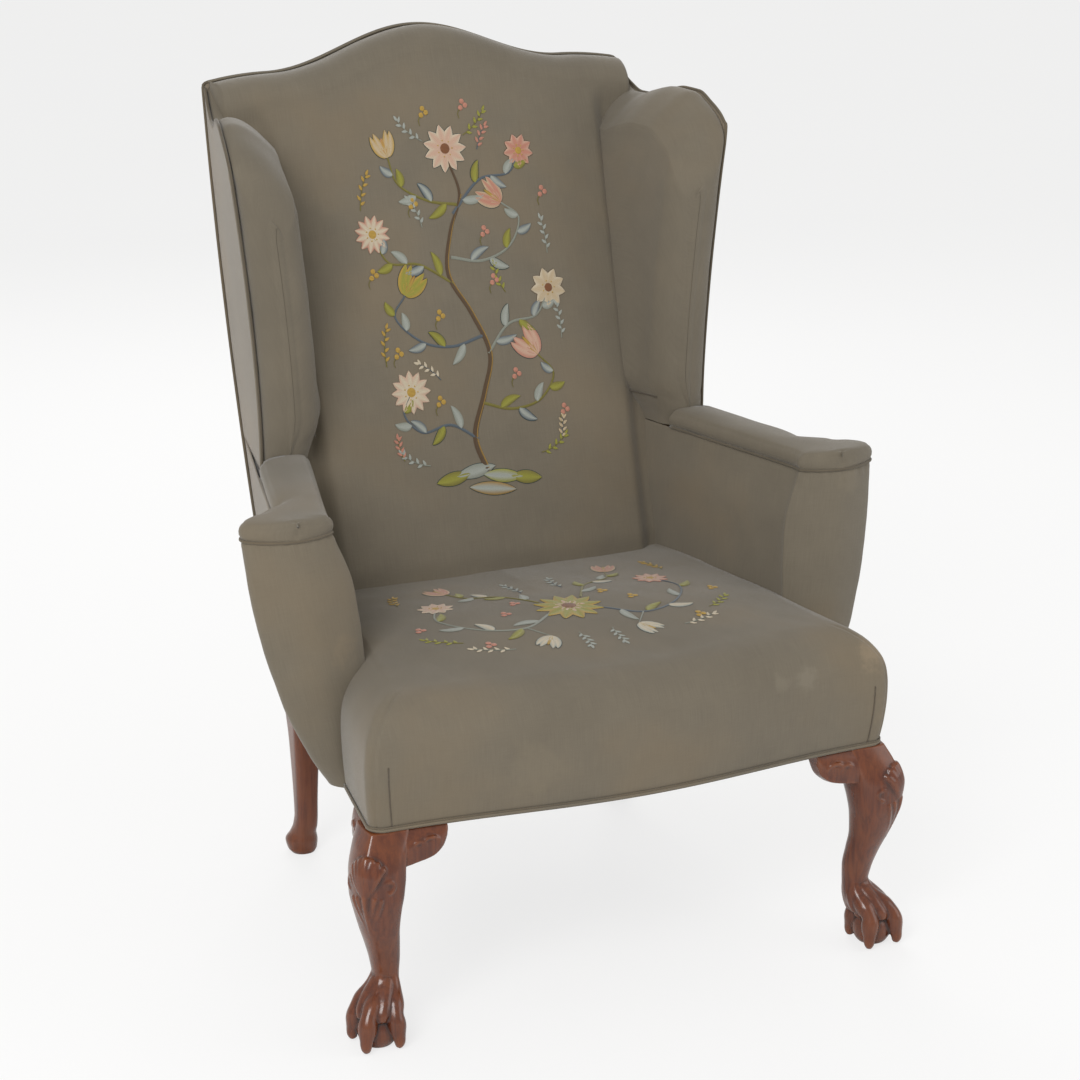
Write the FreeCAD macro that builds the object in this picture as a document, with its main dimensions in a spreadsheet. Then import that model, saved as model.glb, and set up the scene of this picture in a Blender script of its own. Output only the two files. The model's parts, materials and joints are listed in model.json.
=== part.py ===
import FreeCAD, Part
import Sketcher
import math
import os
from types import SimpleNamespace

# Upholstered wingback armchair on cabriole legs with ball-and-claw feet.
# Drawn with X across the chair, Y from the face of the front corners towards the back, and Z up from
# the floor. Each piece is then placed so that the middle of the chair's length and width is the origin.
# Left and right are those of a person who looks at the front of the chair: left is -X.

doc = FreeCAD.newDocument("Armchair")
V = FreeCAD.Vector

# Driving sizes in millimetres, angles in degrees
sizes = {
    "front_face": -358.9,
    "seat_half_front": 361.0,
    "seat_half_back": 270.0,
    "seat_depth": 612.0,
    "front_bow": 25.0,
    "rail_bottom": 286.0,
    "rail_height": 60.0,
    "rail_thickness": 30.0,
    "cover_thickness": 2.0,
    "clearance": 0.3,
    "seat_rise": 160.0,
    "seat_swell": 7.0,
    "seat_roll": 66.0,
    "seat_roll_depth": 52.0,
    "seat_crown": 15.0,
    "corner_round": 16.0,
    "inside_back_foot": 441.0,
    "inside_back_level": 433.5,
    "inside_rake": 19.9,
    "outside_rake": 9.6,
    "back_crown": 8.0,
    "crest_height": 1105.0,
    "crest_hump": 54.0,
    "hump_half_width": 225.0,
    "crest_roll": 30.0,
    "back_half_top": 310.0,
    "post_width": 30.0,
    "post_depth": 42.0,
    "side_padding": 6.0,
    "arm_height": 613.0,
    "arm_pad_height": 26.0,
    "arm_front": 175.0,
    "arm_tip": 446.0,
    "wing_seam": 655.0,
    "wing_front": 470.0,
    "wing_flare": 30.0,
    "wing_base": 332.0,
    "wing_padding": 84.0,
    "wing_top": 1077.0,
    "wing_join": 223.0,
    "leg_post": 50.0,
    "knee_swell": 28.0,
    "knee_half_width": 38.5,
    "ankle_height": 83.0,
    "ankle_half_width": 17.5,
    "ball_radius": 30.0,
    "claw_spread": 36.0,
    "rear_leg_half": 20.0,
    "rear_ankle_half": 13.5,
    "bracket_length": 53.0,
    "bracket_height": 50.0,
    "web_width": 50.0,
    "web_thickness": 2.0,
    "hessian_thickness": 1.5,
    "welt_radius": 2.4,
    "tack_radius": 4.0,
}
sheet = doc.addObject("Spreadsheet::Sheet", "Sizes")
for row, (name, value) in enumerate(sizes.items(), start=1):
    sheet.set("A%d" % row, name)
    sheet.set("B%d" % row, str(value))
    sheet.setAlias("B%d" % row, name)
doc.recompute()
s = SimpleNamespace(**{name: float(sheet.get(name)) for name in sizes})
print(len(sizes), "sizes")

# Heights and slopes that follow from the sizes
rail_top = s.rail_bottom + s.rail_height
skin = s.cover_thickness + s.clearance
deck = rail_top + 2 * s.web_thickness + s.hessian_thickness + s.clearance
side_taper = (s.seat_half_front - s.seat_half_back) / s.seat_depth
inside_slope = math.tan(math.radians(s.inside_rake))
outside_slope = math.tan(math.radians(s.outside_rake))
pieces = []


def keep(piece):
    """Adds a finished piece to the list that is exported, and puts it in its place on the chair."""
    piece.setExpression("Placement.Base.y", "Sizes.front_face")
    pieces.append(piece)
    return piece


def feature(label, shape):
    piece = doc.addObject("Part::Feature", label)
    piece.Label = label
    piece.Shape = shape
    return keep(piece)


def pair(name, right_shape):
    """A right piece and its mirror image on the left."""
    feature("right_" + name, right_shape)
    feature("left_" + name, right_shape.mirror(V(0, 0, 0), V(1, 0, 0)))


def board(label, plane, corners, thickness, start="0"):
    """A board sawn to a polygon: the sketch's corners and the pad's length follow the sizes sheet."""
    body = doc.addObject("PartDesign::Body", label)
    body.Label = label
    sketch = body.newObject("Sketcher::SketchObject", label + "_outline")
    origin_plane = [face for face in body.Origin.OriginFeatures if face.Role == plane][0]
    sketch.AttachmentSupport = [(origin_plane, "")]
    sketch.MapMode = "FlatFace"
    sketch.setExpression("AttachmentOffset.Base.z", start)
    count = len(corners)
    spots = [V(math.cos(2 * math.pi * i / count), math.sin(2 * math.pi * i / count), 0) for i in range(count)]
    for i in range(count):
        sketch.addGeometry(Part.LineSegment(spots[i], spots[(i + 1) % count]), False)
    for i in range(count):
        sketch.addConstraint(Sketcher.Constraint("Coincident", i, 2, (i + 1) % count, 1))
    for i, (across, along) in enumerate(corners):
        column = sketch.addConstraint(Sketcher.Constraint("DistanceX", -1, 1, i, 1, spots[i].x))
        sketch.setExpression("Constraints[%d]" % column, across)
        line = sketch.addConstraint(Sketcher.Constraint("DistanceY", -1, 1, i, 1, spots[i].y))
        sketch.setExpression("Constraints[%d]" % line, along)
    pad = body.newObject("PartDesign::Pad", label + "_board")
    pad.Profile = sketch
    pad.setExpression("Length", thickness)
    return keep(body)


def arc(start, middle, end):
    """An arc through three points, or the line between the ends where the middle lies on it."""
    if middle.distanceToLine(start, end - start) < 0.05:
        return line(start, end)
    return Part.Arc(start, middle, end).toShape()


def line(start, end):
    return Part.LineSegment(start, end).toShape()


def loft(wires):
    return Part.makeLoft(wires, True, True)


def carved(sections):
    """A solid with flat facets between polygons that have equally many corners."""
    faces = [Part.Face(Part.makePolygon(ends + ends[:1])) for ends in (sections[0], sections[-1])]
    for low, high in zip(sections, sections[1:]):
        for i in range(len(low)):
            corners = [low[i], low[(i + 1) % len(low)], high[(i + 1) % len(low)], high[i]]
            normal = (corners[1] - corners[0]).cross(corners[2] - corners[0])
            flat = abs((corners[3] - corners[0]).dot(normal)) < 0.0001 * normal.Length
            for picked in ((0, 1, 2, 3),) if flat else ((0, 1, 2), (0, 2, 3)):
                outline = [corners[k] for k in picked]
                faces.append(Part.Face(Part.makePolygon(outline + outline[:1])))
    solid = Part.Solid(Part.Shell(faces))
    return solid if solid.Volume > 0 else solid.reversed()


def prism(points, direction):
    """A flat polygon swept along a direction."""
    return Part.Face(Part.makePolygon(points + points[:1])).extrude(direction)


def beam(start, end):
    """A straight member between two four-cornered ends."""
    return carved([start, end])


def half_width(depth):
    """Half the seat's width at a distance behind the front face."""
    return s.seat_half_front - side_taper * depth


def rear_half(level):
    """Half the width of the outside back: it grows quickly above the rails, then slowly."""
    share = (level - s.rail_bottom) / (s.crest_height - s.rail_bottom)
    return s.seat_half_back + (s.back_half_top - s.seat_half_back) * (1 - (1 - share) ** 2)


def inside_back(level):
    return s.inside_back_foot + (level - s.inside_back_level) * inside_slope


def outside_back(level):
    return s.seat_depth + max(level - rail_top, 0) * outside_slope


# Soft forms: each is a loft, and an inset of it gives the space under its cover
def seat_outline(level, inset, rear):
    """The seat seen from above: serpentine front, rounded corners, sides that taper to the back."""
    bend = s.corner_round
    half = s.seat_half_front - inset
    reach = half - bend
    corner = V(reach + bend * 0.707, inset + bend * 0.293, level)
    side_start = V(half_width(bend) - inset, inset + bend, level)
    side_end = V(half_width(rear) - inset, rear, level)
    meet = V(0.48 * reach, inset - 0.48 * s.front_bow, level)
    hollow = V(0.76 * reach, inset - 0.12 * s.front_bow, level)
    turn = V(reach, inset, level)

    def other(point):
        return V(-point.x, point.y, point.z)

    return Part.Wire([
        line(side_end, side_start),
        arc(side_start, corner, turn),
        arc(turn, hollow, meet),
        arc(meet, V(0, inset - s.front_bow, level), other(meet)),
        arc(other(meet), other(hollow), other(turn)),
        arc(other(turn), other(corner), other(side_start)),
        line(other(side_start), other(side_end)),
        line(other(side_end), side_end),
    ])


def seat_form():
    """The stuffed seat: swelling sides, a rounded upper edge and a crown."""
    shoulder = s.seat_rise - s.seat_roll
    rows = [(0, 0), (0.5 * shoulder, -0.75 * s.seat_swell), (0.95 * shoulder, -s.seat_swell)]
    for angle in (35, 62, 90):
        turn = math.radians(angle)
        rows.append((shoulder + s.seat_roll * math.sin(turn),
                     s.seat_roll_depth * (1 - math.cos(turn)) - s.seat_swell))
    flat = s.seat_roll_depth - s.seat_swell
    rows.append((s.seat_rise + s.seat_crown, flat + 110))
    rear = s.inside_back_foot + 30
    return loft([seat_outline(s.rail_bottom + height, drawn_in, rear) for height, drawn_in in rows])


def crest(offset):
    """Height of the camel crest at a distance from the middle."""
    if abs(offset) >= s.hump_half_width:
        past = (abs(offset) - s.hump_half_width) / (s.back_half_top - s.hump_half_width)
        return s.crest_height - 8 * past ** 2
    return s.crest_height + s.crest_hump * (0.5 + 0.5 * math.cos(math.pi * offset / s.hump_half_width))


def back_form(inset):
    """The stuffed back between the wings, with a camel crest and a soft front edge along the top."""
    wires = []
    bottom = deck + inset
    for share in (-1, -0.7, -0.45, -0.2, 0, 0.2, 0.45, 0.7, 1):
        top = crest(share * s.back_half_top) - inset
        crown = s.back_crown * (1 - share ** 2) - inset
        shoulder = top - s.crest_roll
        middle = (bottom + shoulder) / 2

        def spot(depth, level):
            rise = (level - rail_top) / (s.crest_height - rail_top)
            half = rear_half(rail_top) * (1 - rise) + s.back_half_top * rise - s.side_padding - inset
            return V(share * half, depth, level)

        rear = outside_back(top - 3) - skin
        foot = spot(inside_back(bottom) - crown, bottom)
        front = spot(inside_back(middle) - crown - 0.4 * s.back_crown, middle)
        edge = spot(inside_back(shoulder) - crown, shoulder)
        lip = spot(inside_back(shoulder) - crown + 0.42 * s.crest_roll, top - 0.22 * s.crest_roll)
        summit = spot(inside_back(shoulder) - crown + 1.15 * s.crest_roll, top)
        heel = spot(outside_back(bottom) - skin, bottom)
        wires.append(Part.Wire([
            arc(foot, front, edge),
            arc(edge, lip, summit),
            line(summit, spot(rear, top - 3)),
            line(spot(rear, top - 3), heel),
            line(heel, foot),
        ]))
    return loft(wires)


def wing_outer(level, depth):
    """The outside face of a wing: it flares towards the front and towards the top."""
    rise = max(level - s.wing_seam, 0) / (s.wing_top - s.wing_seam)
    front = s.wing_base + s.wing_flare * rise ** 1.5
    along = (depth - s.wing_front) / (outside_back(level) - s.wing_front)
    along = min(max(along, 0), 1)
    return front * (1 - along) + rear_half(level) * along


def wing_inner(level, depth, share):
    """The inside face of a wing: it runs from the fat front roll to the inside back."""
    front = wing_outer(level, s.wing_front) - s.wing_padding * share
    join = s.wing_join + 0.07 * (level - s.wing_seam)
    run = min(max((depth - s.wing_front) / (inside_back(level) - s.wing_front), 0), 1)
    return front + (join - front) * run


# Sections of a wing: distance behind the welt, drawn in, share of the padding, rise over the front hump
wing_rows = (
    (-14, 24, 0.60, -102),
    (-8, 6, 0.88, -72),
    (10, 0, 1, -43),
    (50, 0, 1, -14),
    (97, 0, 1, 0),
    (172, 0, 1, -19),
    (227, 0, 1, -8),
    (275, 0, 1, 19),
)


def before_back(shape, space):
    """What lies in front of the outside back, a space away from its sheet."""
    tall = s.crest_height + 100
    behind = [V(0, outside_back(level) - s.cover_thickness - space, level) for level in (rail_top, tall)]
    low = V(0, behind[0].y, s.rail_bottom - 10)
    far = 2 * s.seat_depth
    corners = [low, behind[0], behind[1], V(0, far, tall), V(0, far, low.z)]
    block = prism([corner - V(far, 0, 0) for corner in corners], V(2 * far, 0, 0))
    return shape.cut(block)


def wing_form(inset):
    """A padded wing: upright sections from the front roll to the outside back, with soft tops."""
    bottom = s.arm_height + s.clearance - inset
    wires = []
    for behind, drawn_in, share, lift in wing_rows:
        top = s.wing_top + lift - inset
        soft = 52 * (share - drawn_in / s.wing_padding)
        depth = s.wing_front + behind + (inset if behind < 0 else 0)

        def outer(level):
            return V(wing_outer(level, depth) - drawn_in - skin - inset, depth, level)

        def inner(level):
            return V(wing_inner(level, depth, share) + inset, depth, level)

        middle = (bottom + top - soft) / 2
        shoulder = inner(top - soft)
        tip = outer(top - 10)
        apex = V(shoulder.x + 0.42 * (tip.x - shoulder.x), depth, top - 4)
        wires.append(Part.Wire([
            arc(outer(bottom), outer(middle), tip),
            arc(tip, apex, shoulder),
            arc(shoulder, inner(middle), inner(bottom)),
            line(inner(bottom), outer(bottom)),
        ]))
    return before_back(loft(wires), s.clearance)


def arm_outline(level, row, inset):
    """The arm seen from above: a scroll that rolls outwards at the front, on a straight inner face."""
    tip, centre, reach, inner_front, waist, inner_rear = row
    panel = s.cover_thickness + s.clearance
    rear = outside_back(level) - s.cover_thickness - s.clearance
    front = centre - reach + inset
    scroll = V(tip - inset, centre, level)
    nose = V((tip + inner_front) / 2, front, level)
    cheek = V(inner_front + inset, centre + 6, level)
    start = V(inner_rear + inset, rear, level)
    neck = V(waist - inset - panel, centre + 90, level)
    hook = V((tip - inset) * 0.55 + waist * 0.45, centre + 0.62 * reach, level)
    rear_corner = V(rear_half(level) - inset - panel, rear, level)
    swing = V(waist - inset - panel + 0.2 * (hook.x - waist), (2 * hook.y + neck.y) / 3, level)
    return Part.Wire([
        line(start, cheek),
        arc(cheek, V(nose.x - 0.36 * (nose.x - cheek.x) * 2, front + 0.29 * reach, level), nose),
        arc(nose, V(nose.x + 0.37 * (scroll.x - nose.x) * 2, front + 0.33 * reach, level), scroll),
        line(scroll, hook),
        arc(hook, swing, neck),
        line(neck, rear_corner),
        line(rear_corner, start),
    ])


def arm_rows():
    """Heights of the arm's sections and their sizes: the arm swells upwards like an upturned cone."""
    rows = (
        # share of the height, tip, scroll centre, roll, inner front, waist, inner rear
        (0, -92, -41, 27, 320, 328, 248),
        (0.13, -68, -37, 31, 316, 335, 236),
        (0.36, -36, -29, 36, 298, 348, 218),
        (0.75, -8, -10, 39, 305, 367, 221),
        (1, 0, 0, 40, 330, 377, 223),
    )
    span = s.arm_height - s.rail_bottom
    for share, tip, centre, reach, inner_front, waist, inner_rear in rows:
        yield s.rail_bottom + share * span, (s.arm_tip + tip, s.arm_front + 40 + centre, reach,
                                             inner_front, waist, inner_rear)


def arm_form(inset):
    wires = []
    for level, row in arm_rows():
        shift = {s.arm_height: -inset, s.rail_bottom: inset}.get(level, 0)
        wires.append(arm_outline(level + shift, row, inset))
    return before_back(loft(wires), s.clearance)


def wing_panel():
    """The outside wing: a thin sheet from the welt to the outside back."""
    bottom = s.arm_height + s.clearance
    wires = []
    for behind, drawn_in, share, lift in wing_rows[2:]:
        top = s.wing_top + lift - 8
        depth = s.wing_front + behind

        def outer(level, inwards):
            return V(wing_outer(level, depth) - inwards, depth, level)

        middle = (bottom + top) / 2
        wires.append(Part.Wire([
            arc(outer(bottom, 0), outer(middle, 0), outer(top, 0)),
            line(outer(top, 0), outer(top, s.cover_thickness)),
            arc(outer(top, s.cover_thickness), outer(middle, s.cover_thickness),
                outer(bottom, s.cover_thickness)),
            line(outer(bottom, s.cover_thickness), outer(bottom, 0)),
        ]))
    return before_back(loft(wires), s.clearance)


def arm_panel():
    """The outside arm: a thin sheet from behind the scroll to the outside back."""
    wires = []
    for level, row in arm_rows():
        tip, centre, reach, inner_front, waist, inner_rear = row
        neck = V(waist, centre + 90 + s.clearance, level)
        corner = V(rear_half(level), outside_back(level) - skin, level)
        inwards = V(-s.cover_thickness, 0, 0)
        wires.append(Part.makePolygon([neck, corner, corner + inwards, neck + inwards, neck]))
    return before_back(loft(wires), s.clearance)


def moved(shape, turn, place):
    """A copy of a shape, turned about Z in degrees and then moved."""
    where = FreeCAD.Placement(place, FreeCAD.Rotation(V(0, 0, 1), turn))
    copy = shape.copy()
    copy.transformShape(where.toMatrix(), True)
    return copy


def above(shape, level):
    """The part of a shape over a level."""
    far = 4 * s.seat_depth
    return shape.common(Part.makeBox(far, far, far, V(-far / 2, -far / 2, level)))


def below(shape, level):
    far = 4 * s.seat_depth
    return shape.common(Part.makeBox(far, far, far, V(-far / 2, -far / 2, level - far)))


def quad(corner, wide, deep):
    """Four corners of a level face, from its outer rear corner towards the middle and the front."""
    return [corner, corner - V(wide, 0, 0), corner - V(wide, deep, 0), corner - V(0, deep, 0)]


# The frame: rails between the legs, then the posts and rails of the back, arms and wings
rail_face = "(Sizes.cover_thickness + Sizes.clearance)"
post_face = "(Sizes.seat_half_front - " + rail_face + " - Sizes.leg_post)"
rear_inner = "(Sizes.seat_half_back - 2 * Sizes.rear_leg_half - " + rail_face + " - Sizes.clearance)"
rear_front = "(Sizes.seat_depth - 2 * Sizes.rear_leg_half - " + rail_face + " - Sizes.clearance)"
board("front_seat_rail", "XY_Plane", [
    ("-" + post_face, rail_face),
    ("-" + post_face + " * 0.5", rail_face + " - 0.5 * Sizes.front_bow"),
    ("0", rail_face + " - Sizes.front_bow + 1.5"),
    (post_face + " * 0.5", rail_face + " - 0.5 * Sizes.front_bow"),
    (post_face, rail_face),
    (post_face, rail_face + " + Sizes.rail_thickness"),
    ("-" + post_face, rail_face + " + Sizes.rail_thickness"),
], "Sizes.rail_height", "Sizes.rail_bottom")
taper = "((Sizes.seat_half_front - Sizes.seat_half_back) / Sizes.seat_depth)"
front_y = "(" + rail_face + " + Sizes.leg_post)"
outer_front = "(Sizes.seat_half_front - " + rail_face + " - " + taper + " * " + front_y + ")"
outer_rear = "(Sizes.seat_half_front - " + rail_face + " - " + taper + " * " + rear_front + ")"
for side, sign in (("right", ""), ("left", "-")):
    board(side + "_seat_rail", "XY_Plane", [
        (sign + outer_front, front_y),
        (sign + outer_rear, rear_front),
        (sign + "(" + outer_rear + " - Sizes.rail_thickness)", rear_front),
        (sign + "(" + outer_front + " - Sizes.rail_thickness)", front_y),
    ], "Sizes.rail_height", "Sizes.rail_bottom")
board("back_seat_rail", "XY_Plane", [
    ("-" + rear_inner, rear_front + " + Sizes.clearance"),
    (rear_inner, rear_front + " + Sizes.clearance"),
    (rear_inner, rear_front + " + Sizes.clearance + Sizes.rail_thickness"),
    ("-" + rear_inner, rear_front + " + Sizes.clearance + Sizes.rail_thickness"),
], "Sizes.rail_height", "Sizes.rail_bottom")


def rear_corner(level, inwards):
    """Outer rear corner of the frame at a level, a distance in from the side of the back."""
    return V(rear_half(level) - inwards, outside_back(level) - skin, level)


post_inset = s.side_padding + 2 * skin
post_top = s.crest_height - s.crest_roll - 15
post_ends = [quad(rear_corner(level, post_inset), s.post_width, s.post_depth) for level in (rail_top, post_top)]
back_post = beam(*post_ends)
pair("back_post", back_post)


def between_posts(level, height, depth, rise):
    """A rail between the posts, flush with their front faces, its upper edge raised in the middle."""
    def end(share):
        low, high = post_ends[0][2], post_ends[1][2]
        return low + (high - low) * ((share - rail_top) / (post_top - rail_top))
    low, high = end(level), end(level + height)
    slope = (high - low) * (1 / height)
    middle = V(0, high.y, high.z) + V(0, slope.y, slope.z) * rise
    other_low, other_high = V(-low.x, low.y, low.z), V(-high.x, high.y, high.z)
    outline = Part.Wire([
        line(other_low, low),
        line(low, high),
        arc(high, middle, other_high),
        line(other_high, other_low),
    ])
    return Part.Face(outline).extrude(V(0, depth, 0))


crest_rail = between_posts(post_top - 70, 70, s.rail_thickness, s.crest_hump)
feature("crest_rail", crest_rail)
stay_rail = between_posts(rail_top + 120, s.rail_height, s.rail_thickness, 0)
feature("stay_rail", stay_rail)

# Arm and wing supports
arm_rail_top = s.arm_height - 24
member = s.post_width
arm_rail_foot = s.arm_front + 20
arm_post_ends = (
    quad(V(half_width(arm_rail_foot + member) - skin, arm_rail_foot + member, rail_top), 0.6 * member, member),
    quad(V(s.arm_tip - 66, arm_rail_foot + member + 14, arm_rail_top), member, member),
)
arm_post = beam(*arm_post_ends)
pair("arm_post", arm_post)
rail_end = V(post_ends[0][3].x, outside_back(arm_rail_top) - skin - s.post_depth, arm_rail_top)
rail_end.x = post_ends[0][3].x + (post_ends[1][3].x - post_ends[0][3].x) * (
    (arm_rail_top - rail_top) / (post_top - rail_top))
foot = arm_post_ends[1][0]
arm_rail = prism([corner - V(0, 0, member) for corner in
                  (foot, rail_end, rail_end - V(member, 0, 0), foot - V(member, 0, 0))], V(0, 0, member))
arm_rail = arm_rail.cut(arm_post).cut(back_post)
pair("arm_rail", arm_rail)
wing_foot = s.wing_front + 18 + member
share = (wing_foot - foot.y) / (rail_end.y - foot.y)
wing_foot_x = foot.x + (rail_end.x - foot.x) * share
wing_head = s.wing_top - 92
wing_post = beam(
    quad(V(wing_foot_x - 2, wing_foot, arm_rail_top), member - 6, member),
    quad(V(wing_outer(wing_head, wing_foot) - 14, wing_foot + 4, wing_head), member - 6, member),
)
pair("wing_post", wing_post)
rail_level = wing_head - member
rail_start = V(wing_outer(wing_head, wing_foot) - 16, wing_foot + 5, rail_level)
head_corner = post_ends[1][3]
low_corner = post_ends[0][3]
reach_up = (rail_level - rail_top) / (post_top - rail_top)
rail_stop = low_corner + (head_corner - low_corner) * reach_up
wing_rail = prism([rail_start, rail_stop, rail_stop - V(member - 8, 0, 0), rail_start - V(member - 8, 0, 0)],
                  V(0, 0, member)).cut(back_post).cut(wing_post)
pair("wing_rail", wing_rail)


# Front legs: cabriole shaft with ball-and-claw foot, drawn with the knee's outward diagonal along +X
def rounded(tips, squareness, cuts=3):
    """A polygon through the tips, each side carved outwards towards its corner in a few flat cuts."""
    points = []
    for start, end in zip(tips, tips[1:] + tips[:1]):
        corner = V(start.x if abs(start.y) < 0.001 else end.x, start.y + end.y, start.z)
        bulge = (corner - (start + end) * 0.5) * squareness
        for cut in range(cuts):
            along = cut / cuts
            points.append(start * (1 - along) + end * along + bulge * (4 * along * (1 - along)))
    return points


def shaft_section(level, outer, inner, half, squareness):
    """A rounded diamond: its outer corner is the knee's edge."""
    centre = outer - half * 1.05 if outer - inner > 2.1 * half else (outer + inner) / 2
    tips = [V(outer, 0, level), V(centre, half, level), V(inner, 0, level), V(centre, -half, level)]
    return rounded(tips, squareness)


knee = s.knee_swell
ankle = s.ankle_height
half_knee = s.knee_half_width
half_ankle = s.ankle_half_width
leg_rows = (
    # level, outer face, inner face, half width, squareness
    (s.rail_bottom, 1.4, -69.3, 35.3, 0.05),
    (s.rail_bottom - 24, knee - 10, -64, half_knee - 2, 0.14),
    (s.rail_bottom - 55, knee, -55, half_knee, 0.24),
    (s.rail_bottom - 88, knee - 4, -45, half_knee - 4, 0.3),
    ((s.rail_bottom + ankle) / 2 - 15, knee - 12, -43, (half_knee + half_ankle) / 2 + 1, 0.36),
    ((s.rail_bottom + ankle) / 2 - 50, knee - 26, -47, half_ankle + 7, 0.41),
    (ankle + 20, knee - 37, -51, half_ankle + 3, 0.41),
    (ankle, knee - 41, -50, half_ankle, 0.41),
    (ankle - 24, knee - 37, -48, half_ankle + 3, 0.41),
)
shaft = carved([shaft_section(*row) for row in reversed(leg_rows)])
post_corner = -skin * math.sqrt(2)
leg_chamfer = 9
leg_post = Part.makeBox(s.leg_post, s.leg_post, s.rail_height + 30,
                        V(-s.leg_post, -s.leg_post, s.rail_bottom - 30))
leg_post = leg_post.makeChamfer(leg_chamfer, [edge for edge in leg_post.Edges
                                    if abs(edge.BoundBox.XMin) < 0.01 and abs(edge.BoundBox.YMin) < 0.01
                                    and edge.BoundBox.ZLength > s.rail_height])
leg_post = moved(leg_post, -45, V(post_corner, 0, 0))
foot_axis = V(-6, 0, 0)


def ring(centre, axis, radius, count):
    """A regular polygon round an axis."""
    axis = V(axis).normalize()
    side = axis.cross(V(0, 1, 0)).normalize()
    other = axis.cross(side)
    points = []
    for i in range(count):
        turn = 2 * math.pi * (i + 0.5) / count
        points.append(centre + side * (radius * math.cos(turn)) + other * (radius * math.sin(turn)))
    return points


def claw(turn, stretch):
    """One talon: two knuckles, then the nail that grips the ball."""
    spread = s.claw_spread * stretch
    rows = (
        # distance from the foot's axis, level, radius
        (0.30 * spread, ankle - 2, 6.5),
        (0.56 * spread, ankle - 32, 9.0),
        (0.72 * spread, ankle - 42, 7.2),
        (0.88 * spread, ankle - 55, 9.2),
        (0.96 * spread, ankle - 67, 7.0),
        (spread, ankle - 78, 3.8),
    )
    spots = [V(distance, 0, level) for distance, level, radius in rows]
    sections = []
    for i, spot in enumerate(spots):
        ahead = spots[min(i + 1, len(spots) - 1)] - spots[max(i - 1, 0)]
        sections.append(ring(spot, ahead, rows[i][2], 8))
    return moved(carved(sections), turn, foot_axis)


ball_rows = ((0, 0.74), (0.27, 0.92), (0.72, 1), (1.22, 0.87), (1.6, 0.55))
ball = carved([ring(foot_axis + V(0, 0, level * s.ball_radius), V(0, 0, 1), share * s.ball_radius, 20)
             for level, share in ball_rows])
foot_block = ball.multiFuse([claw(0, 1), claw(86, 0.97), claw(-86, 0.97), claw(180, 0.95)])
front_leg = above(shaft.multiFuse([foot_block, leg_post]), 0)
corner_place = V(s.seat_half_front, 0, 0)
right_leg = moved(front_leg, -45, corner_place)
side_line = [V(half_width(along) - skin, along, s.rail_bottom) for along in (0, 100)]
beside = prism(side_line + [V(500, 100, s.rail_bottom), V(500, 0, s.rail_bottom)], V(0, 0, s.rail_height + 1))
right_leg = right_leg.cut(beside)
pair("front_leg", right_leg)


# Knee brackets: they carry the knee's swell along the rails and thin out under them
def bracket(spot):
    """A bracket; spot gives the place of a point from its run along the rail, depth and level."""
    rows = (
        # share of the length, lower edge, swell of the face
        (0, 1.0, 12),
        (0.30, 0.93, 11),
        (0.66, 0.86, 9),
        (0.90, 0.66, 6),
        (1, 0.34, 2),
    )
    sections = []
    for share, hang, swell in rows:
        run = s.leg_post + skin + s.clearance + share * s.bracket_length
        low = s.rail_bottom - s.clearance - hang * s.bracket_height
        top = s.rail_bottom - s.clearance
        deep = skin + s.rail_thickness - 10
        face = ((1, top), (0.2 - 0.7 * swell, low + 0.72 * (top - low)), (-swell, low + 0.42 * (top - low)),
                (1 - swell, low + 0.14 * (top - low)), (5 - swell, low), (deep, low), (deep, top))
        sections.append([spot(run, depth, level) for depth, level in face])
    return carved(sections)


front_bracket = bracket(lambda run, depth, level: V(s.seat_half_front - run, depth, level)).cut(right_leg)
side_bracket = bracket(lambda run, depth, level: V(half_width(run) - depth, run, level)).cut(right_leg)
pair("front_knee_bracket", front_bracket)
pair("side_knee_bracket", side_bracket)

# Rear legs: plain, with a small pad foot whose toe points outwards and back
rear_half_side = s.rear_leg_half
rear_centre = V(s.seat_half_back - skin - rear_half_side, s.seat_depth - skin - rear_half_side, 0)


def rear_section(level, half, slide, round_off):
    """A square whose corners are cut by a share of its half width."""
    turn = math.radians(50)
    shift = V(math.cos(turn), math.sin(turn), 0) * slide + V(0, 0, level)
    cut = half * (1 - round_off)
    corners = [V(half, -cut, 0), V(half, cut, 0), V(cut, half, 0), V(-cut, half, 0),
               V(-half, cut, 0), V(-half, -cut, 0), V(-cut, -half, 0), V(cut, -half, 0)]
    return [corner + shift for corner in corners]


rear_rows = (
    # level, half width, slide towards the toe, share of the corner cut
    (0, 17, 7, 0.55), (6, 21, 8, 0.55), (18, 23, 9, 0.55), (30, 19, 6, 0.55),
    (42, s.rear_ankle_half + 1, 2, 0.5), (60, s.rear_ankle_half, 0, 0.5),
    (170, s.rear_ankle_half + 3, 0, 0.4), (s.rail_bottom - 40, rear_half_side, 0, 0.2),
    (s.rail_bottom, rear_half_side, 0, 0.03), (rail_top, rear_half_side, 0, 0.03),
)
rear_leg = moved(carved([rear_section(*row) for row in rear_rows]), 0, rear_centre)
pair("rear_leg", rear_leg)

def mirrored(shape):
    return shape.mirror(V(0, 0, 0), V(1, 0, 0))


# Corner blocks, glued inside the rails
inner_face = skin + s.rail_thickness + s.clearance
block_rise = s.rail_height - 16


def block(corners):
    level = s.rail_bottom + 8
    return prism([V(across, along, level) for across, along in corners], V(0, 0, block_rise))


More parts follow.
